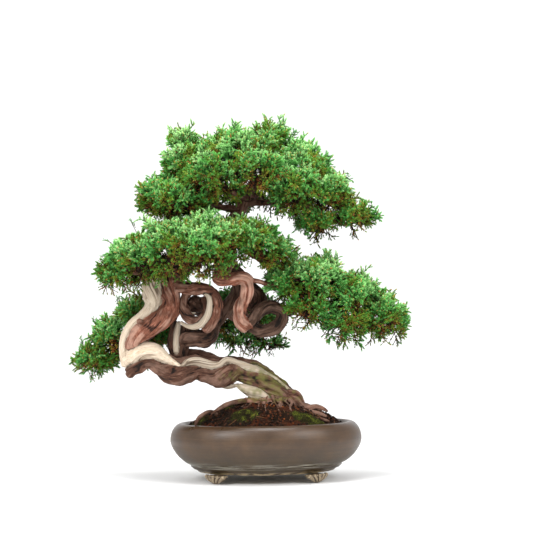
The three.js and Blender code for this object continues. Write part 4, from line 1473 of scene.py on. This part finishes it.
def grow_twigs(pad, wood_points, tuft_bases, rng):
    """Joins every tuft base to the wood through its neighbours, thicker where more is carried."""
    nodes = [np.array(point) for point in wood_points]
    first = len(nodes)
    parents, reach, carried = [-1] * first, [0.0] * first, [0] * first
    nearest = np.min(np.linalg.norm(tuft_bases[:, None] - np.asarray(wood_points)[None], axis=2), axis=1)
    for number in np.argsort(nearest):
        goal = tuft_bases[number]
        distance = np.linalg.norm(np.array(nodes) - goal, axis=1)
        best = int(np.argmin(distance + 0.35 * np.array(reach)))
        start, length = nodes[best], distance[best]
        steps = max(1, int(length / 12))
        parent = best
        sway = rng.normal(0, 0.12, 3) * length + np.array((0, 0, -0.06)) * length
        for step in range(1, steps + 1):
            t = step / steps
            spot = start + (goal - start) * t + sway * math.sin(math.pi * t)
            nodes.append(spot + rng.normal(0, 0.7, 3) * (t < 1))
            parents.append(parent)
            reach.append(reach[best] + length * t)
            carried.append(0)
            parent = len(nodes) - 1
        while parent >= 0:
            carried[parent] += 1
            parent = parents[parent]
    children = {}
    for number in range(first, len(nodes)):
        children.setdefault(parents[number], []).append(number)
    for start in range(first, len(nodes)):
        if parents[start] >= first and children[parents[start]][0] == start:
            continue
        chain = [parents[start], start]
        while chain[-1] in children:
            chain.append(children[chain[-1]][0])
        loads = [carried[number] if number >= first else carried[start] for number in chain]
        radii = [0.55 * max(1, load)**0.42 for load in loads]
        pad.twig(np.array([[*nodes[number], radius] for number, radius in zip(chain, radii)]))


two_tufts = np.array([(0.0, 0.0, 40.0), (20.0, 0.0, 50.0)])
grow_twigs(sample_pad, np.zeros((1, 3)), two_tufts, np.random.default_rng(1))
print("with twigs to two tufts:", sum(len(part) for part in sample_pad.triangles), "triangles")


# %% The clumps of each pad, as centre and half-sizes
pads = {
    "crown_middle": [
        (-44, -10, 527, 72, 85, 62), (-76, -62, 498, 62, 56, 42), (-30, 62, 507, 78, 60, 60),
        (10, -12, 558, 42, 48, 40), (-12, -74, 504, 52, 44, 36)],
    "crown_left": [
        (-112, -8, 520, 56, 72, 50), (-160, -6, 470, 52, 70, 42), (-128, 52, 482, 56, 56, 44),
        (-134, -4, 566, 26, 34, 24), (-128, -54, 462, 52, 50, 34)],
    "crown_right": [
        (58, -4, 514, 56, 82, 54), (96, -16, 428, 34, 42, 28), (106, 2, 470, 48, 74, 44),
        (146, -8, 436, 50, 46, 26), (56, -58, 478, 50, 50, 40), (44, 66, 486, 60, 52, 46)],
    "middle_left": [
        (-240, -36, 344, 38, 46, 32), (-204, -52, 366, 48, 60, 46), (-206, 10, 356, 44, 52, 34)],
    "middle_front": [
        (-150, -74, 378, 56, 64, 54), (-92, -92, 380, 54, 66, 56), (-128, -30, 402, 56, 48, 34),
        (-60, -72, 393, 48, 60, 42)],
    "middle_right": [
        (-20, -66, 392, 42, 56, 40), (20, -48, 374, 32, 44, 28), (-22, -20, 402, 44, 46, 34)],
    "right_inner": [
        (44, -14, 326, 40, 60, 44), (92, -18, 322, 50, 72, 50), (70, 36, 318, 50, 48, 38),
        (74, -32, 280, 40, 50, 34)],
    "right_outer": [
        (146, -12, 295, 48, 70, 48), (190, -8, 267, 46, 56, 42), (132, -22, 259, 44, 52, 34),
        (166, 34, 287, 50, 46, 36), (214, -8, 251, 32, 36, 22)],
    "low_left_outer": [
        (-292, 70, 200, 40, 46, 30), (-258, 76, 238, 46, 56, 42), (-232, 86, 216, 44, 44, 30)],
    "low_left_inner": [
        (-222, 84, 276, 42, 50, 36), (-190, 84, 240, 36, 46, 34)],
    "back_upper": [
        (-46, 113, 292, 50, 42, 32), (0, 113, 274, 44, 42, 34), (-80, 104, 262, 40, 40, 30)],
    "back_low": [
        (-44, 110, 232, 40, 38, 22), (4, 112, 226, 32, 34, 20)],
}
print("pads:", len(pads), "with", sum(len(clumps) for clumps in pads.values()), "clumps")

# %% The boughs that carry them
boughs = {
    "left_bough": [(-172, 4, 338, 13), (-196, -16, 350, 9), (-226, -30, 350, 5)],
    "middle_bough": [(-118, 24, 384, 11), (-112, -10, 384, 8), (-112, -50, 382, 5)],
    "right_bough": [
        (-66, 26, 412, 10), (-28, 12, 388, 9), (14, 4, 358, 8), (60, -2, 336, 7), (110, -6, 318, 6),
        (160, -8, 298, 4)],
    "thin_bough": [(-24, -44, 331, 4.5), (-4, -42, 328, 4), (22, -38, 320, 3.2), (48, -34, 316, 2.4)],
    "low_left_bough": [(-152, 16, 276, 9), (-176, 48, 268, 8), (-216, 68, 248, 6.5), (-258, 76, 226, 4.5)],
    "back_bough": [(-46, 46, 300, 8), (-34, 82, 286, 7), (-22, 112, 272, 5)],
    "low_back_bough": [(-62, 46, 276, 5), (-42, 76, 262, 4), (-28, 106, 240, 3)],
    "crown_left_bough": [(-36, 8, 452, 8), (-74, -2, 458, 6), (-118, -6, 460, 5), (-156, -6, 462, 3.5)],
    "crown_right_bough": [
        (-26, 2, 464, 5.5), (10, -4, 463, 4.5), (52, -8, 463, 4), (88, -10, 448, 3), (108, -12, 430, 2)],
    "crown_back_bough": [(-18, 4, 476, 6.5), (-6, 40, 480, 5), (0, 78, 480, 4)],
    "crown_front_bough": [(-24, -2, 470, 6), (-40, -38, 474, 4.5), (-48, -72, 474, 3.5)],
}
bough_strands = {name: (BARK, 0.35, rows) for name, rows in boughs.items()}
bough_wood = carve_wood("bough_wood", bough_strands, LIMB_VOXEL_MM, 211)
dress(bough_wood, living_wood)
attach(bough_wood, "root")
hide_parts(*boughs)

# %% Which boughs feed each pad
pad_boughs = {
    "crown_middle": ["crown_front_bough", "crown_back_bough"],
    "crown_left": ["crown_left_bough"],
    "crown_right": ["crown_right_bough"],
    "middle_left": ["left_bough"],
    "middle_front": ["middle_bough"],
    "middle_right": ["right_bough"],
    "right_inner": ["right_bough", "thin_bough"],
    "right_outer": ["right_bough"],
    "low_left_outer": ["low_left_bough"],
    "low_left_inner": ["low_left_bough"],
    "back_upper": ["back_bough"],
    "back_low": ["low_back_bough"],
}


def bough_points(names):
    """Places along the boughs' outer halves where twigs may start, in millimetres."""
    points = []
    for name in names:
        rows = np.array(boughs[name])[:, :3]
        for start, end in zip(rows, rows[1:]):
            points += [start + (end - start) * t for t in (0.15, 0.5, 0.85)]
    return np.array(points)


print("pads fed by two boughs:", [name for name, names in pad_boughs.items() if len(names) == 2])

# %% Shoots that stray from the pads, from base to tip
stray_shoots = {
    "crown_right": [
        ((62, -20, 428), (71, -24, 396)), ((72, -30, 424), (80, -34, 402)),
        ((155, -14, 436), (197, -18, 450)), ((148, -8, 423), (177, -12, 426)),
        ((138, -10, 504), (159, -14, 500)), ((138, -20, 479), (157, -24, 481)),
        ((91, -10, 424), (90, -14, 409))],
    "crown_left": [
        ((-126, -10, 566), (-148, -14, 588)), ((-108, -4, 570), (-123, -8, 592)),
        ((-198, -10, 493), (-209, -14, 506)), ((-197, -20, 454), (-214, -24, 451))],
    "crown_middle": [
        ((9, -10, 584), (20, -14, 603)), ((33, -14, 578), (45, -18, 588)), ((50, -6, 571), (68, -10, 586)),
        ((-38, -14, 581), (-45, -18, 596))],
    "middle_left": [
        ((-263, -40, 350), (-268, -44, 331)), ((-233, -46, 330), (-238, -50, 310)),
        ((-263, -40, 367), (-281, -44, 361)), ((-216, -50, 429), (-221, -54, 440)),
        ((-257, -30, 401), (-267, -34, 408))],
    "middle_front": [
        ((-111, -80, 421), (-120, -84, 434)), ((-82, -70, 418), (-88, -74, 431)),
        ((-169, -96, 333), (-172, -100, 316)), ((-59, -90, 358), (-66, -94, 342))],
    "middle_right": [((26, -50, 395), (47, -54, 393)), ((-4, -60, 408), (7, -64, 423))],
    "right_inner": [((69, -30, 259), (68, -34, 239)), ((59, -20, 360), (64, -24, 373))],
    "right_outer": [
        ((222, -10, 274), (244, -14, 260)), ((161, -20, 253), (167, -24, 223)),
        ((181, -14, 251), (209, -18, 229)), ((133, -30, 242), (134, -34, 222)),
        ((193, -10, 311), (211, -14, 308)), ((183, -12, 321), (198, -16, 328))],
    "back_low": [
        ((-77, 100, 245), (-95, 96, 219)), ((-60, 110, 245), (-57, 106, 201)),
        ((-40, 96, 248), (-32, 92, 218)), ((-21, 104, 241), (-4, 100, 216)),
        ((0, 100, 248), (27, 96, 233)), ((-53, 120, 257), (-46, 116, 231)), ((-70, 90, 256), (-77, 86, 235))],
    "low_left_outer": [
        ((-312, 66, 214), (-336, 62, 197)), ((-302, 70, 183), (-282, 66, 167)),
        ((-293, 60, 266), (-304, 56, 275)), ((-317, 80, 232), (-321, 76, 246))],
    "low_left_inner": [((-254, 80, 304), (-247, 76, 316)), ((-226, 84, 296), (-217, 80, 307))],
}
print("stray shoots:", sum(len(shoots) for shoots in stray_shoots.values()))

# %% Growing some clumps of a pad
TUFT_SPACING_MM = 21
TUFT_INSET_MM = 28
SPARSE = {"back_low": 0.45, "back_upper": 0.8}
all_clumps = np.array([clump for clumps in pads.values() for clump in clumps], float)


def outer_tufts(pad, name, own_clumps, rng, in_shade):
    """The leafy tufts on the outside of the clumps. Returns where their twigs must reach."""
    whole = np.array(pads[name], float)
    lowest = (whole[:, 2] - whole[:, 5]).min()
    highest = (whole[:, 2] + whole[:, 5]).max()
    outer = [tufts_of(clump, all_clumps, rng, TUFT_SPACING_MM) for clump in own_clumps]
    places, outward = np.vstack([part[0] for part in outer]), np.vstack([part[1] for part in outer])
    rough = layered(places / 26.0, 17, 2) * 9 + rng.normal(0, 3.0, len(places))
    places = places + outward * rough[:, None]
    under = outward[:, 2]
    lift = np.where(under < -0.2, 0.75, 0.40)[:, None] * np.array((0, 0, 1.0))
    facing = unit(outward + lift + rng.normal(0, 0.16, outward.shape))
    bases = places - unit(outward + facing) * TUFT_INSET_MM
    height = (places[:, 2] - lowest) / (highest - lowest)
    light = np.clip(0.1 + 0.75 * height + 0.45 * under, 0, 1)
    leafy = np.where(under < -0.5, 0.35, np.where(under < -0.1, 0.75, 1.0)) * SPARSE.get(name, 1)
    kept = np.flatnonzero(rng.random(len(bases)) < leafy)
    for base, way, lit, below in zip(bases[kept], facing[kept], light[kept], under[kept]):
        fan = rng.integers(3, 5)
        kinds = full_sprays
        hue = 0.46 + 0.34 * lit + rng.normal(0, 0.07) - 0.04 * in_shade
        if rng.random() < 0.14 + 0.30 * (1 - lit):
            hue = rng.uniform(0.26, 0.42)
        if below < -0.2 and rng.random() < 0.6:
            kinds, hue = thin_sprays, rng.uniform(0.16, 0.40)
        ways = unit(way + rng.normal(0, 0.30, (fan, 3)))
        if rng.random() < 0.16 and below > -0.3:
            longer = rng.uniform(0.85, 1.05, 1)
            aside = unit(way + rng.normal(0, 0.2, 3))
            pad.sprays(long_sprays, [base + way * 6], [aside], longer, [hue + 0.04], [0.02])
        spots = base + rng.normal(0, 2.0, (fan, 3))
        sizes = rng.uniform(0.85, 1.12, fan)
        hues = hue + rng.normal(0, 0.02, fan)
        pale = 0.16 * lit - 0.07 - 0.10 * in_shade + rng.normal(0, 0.05, fan)
        pad.sprays(kinds, spots, ways, sizes, hues, pale)
    return bases


def inner_sprays(pad, own_clumps, rng):
    """Thin brown sprays inside the clumps. Returns where their twigs must reach."""
    inner = [tufts_of(clump, all_clumps, rng, TUFT_SPACING_MM * 1.1, 0.34) for clump in own_clumps]
    inner_places, inner_ways = np.vstack([part[0] for part in inner]), np.vstack([part[1] for part in inner])
    inner_ways = unit(inner_ways + rng.normal(0, 0.4, inner_ways.shape))
    inner_bases = inner_places - inner_ways * 10
    count = len(inner_places)
    # Painted shade: the inner sprays are painted darker than the tufts outside.
    pad.sprays(thin_sprays, inner_bases, inner_ways, rng.uniform(0.85, 1.2, count),
               rng.uniform(0.18, 0.42, count), rng.uniform(-0.34, -0.08, count))
    return inner_bases


def stray_sprays(pad, strays, rng, in_shade):
    """Long shoots that stand out of the pad. Returns where their twigs must reach."""
    for start, tip in strays:
        start, tip = np.array(start, float), np.array(tip, float)
        way, length = unit(tip - start), np.linalg.norm(tip - start)
        spots = [start - way * 8, start - way * 10 + rng.normal(0, 4, 3)]
        ways = unit(way + np.array([(0, 0, 0), rng.normal(0, 0.18, 3)]))
        sizes = np.array([1.0, 0.8]) * (length + 6) / 44
        hues = rng.uniform(0.56, 0.72, 2)
        pad.sprays(long_sprays, spots, ways, sizes, hues, np.full(2, 0.02 - 0.08 * in_shade))
    return np.array([start for start, _ in strays], float).reshape(-1, 3)


def grow_pad(name, own_clumps, strays, seed):
    """Some clumps of a pad, with all their sprays and twigs."""
    rng = np.random.default_rng(seed)
    pad = Pad(seed + 1000)
    in_shade = 1.0 if name.startswith(("low", "back")) else 0.0
    bases = outer_tufts(pad, name, own_clumps, rng, in_shade)
    inner_bases = inner_sprays(pad, own_clumps, rng)
    stray_bases = stray_sprays(pad, strays, rng, in_shade)
    grow_twigs(pad, bough_points(pad_boughs[name]), np.vstack([bases, inner_bases, stray_bases]), rng)
    return pad


print("tufts stand about", TUFT_SPACING_MM, "mm apart")

# %% Growing every pad
MOST_CLUMPS_IN_A_MESH = 2
spray_total = 0
for number, (name, clumps) in enumerate(pads.items()):
    clumps = np.array(clumps, float)
    strays = stray_shoots.get(name, [])
    counts = []
    for first in range(0, len(clumps), MOST_CLUMPS_IN_A_MESH):
        own = clumps[first:first + MOST_CLUMPS_IN_A_MESH]
        grown = grow_pad(name, own, strays if first == 0 else [], 40 + 7 * number + first)
        piece = grown.finished(f"needles_{name}_{1 + first // MOST_CLUMPS_IN_A_MESH}", needle_material)
        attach(piece, "root")
        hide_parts("foliage_" + name)
        counts.append(triangle_count(piece))
        spray_total += grown.spray_count
    print(name + ":", counts, "triangles")
print("sprays in all:", spray_total)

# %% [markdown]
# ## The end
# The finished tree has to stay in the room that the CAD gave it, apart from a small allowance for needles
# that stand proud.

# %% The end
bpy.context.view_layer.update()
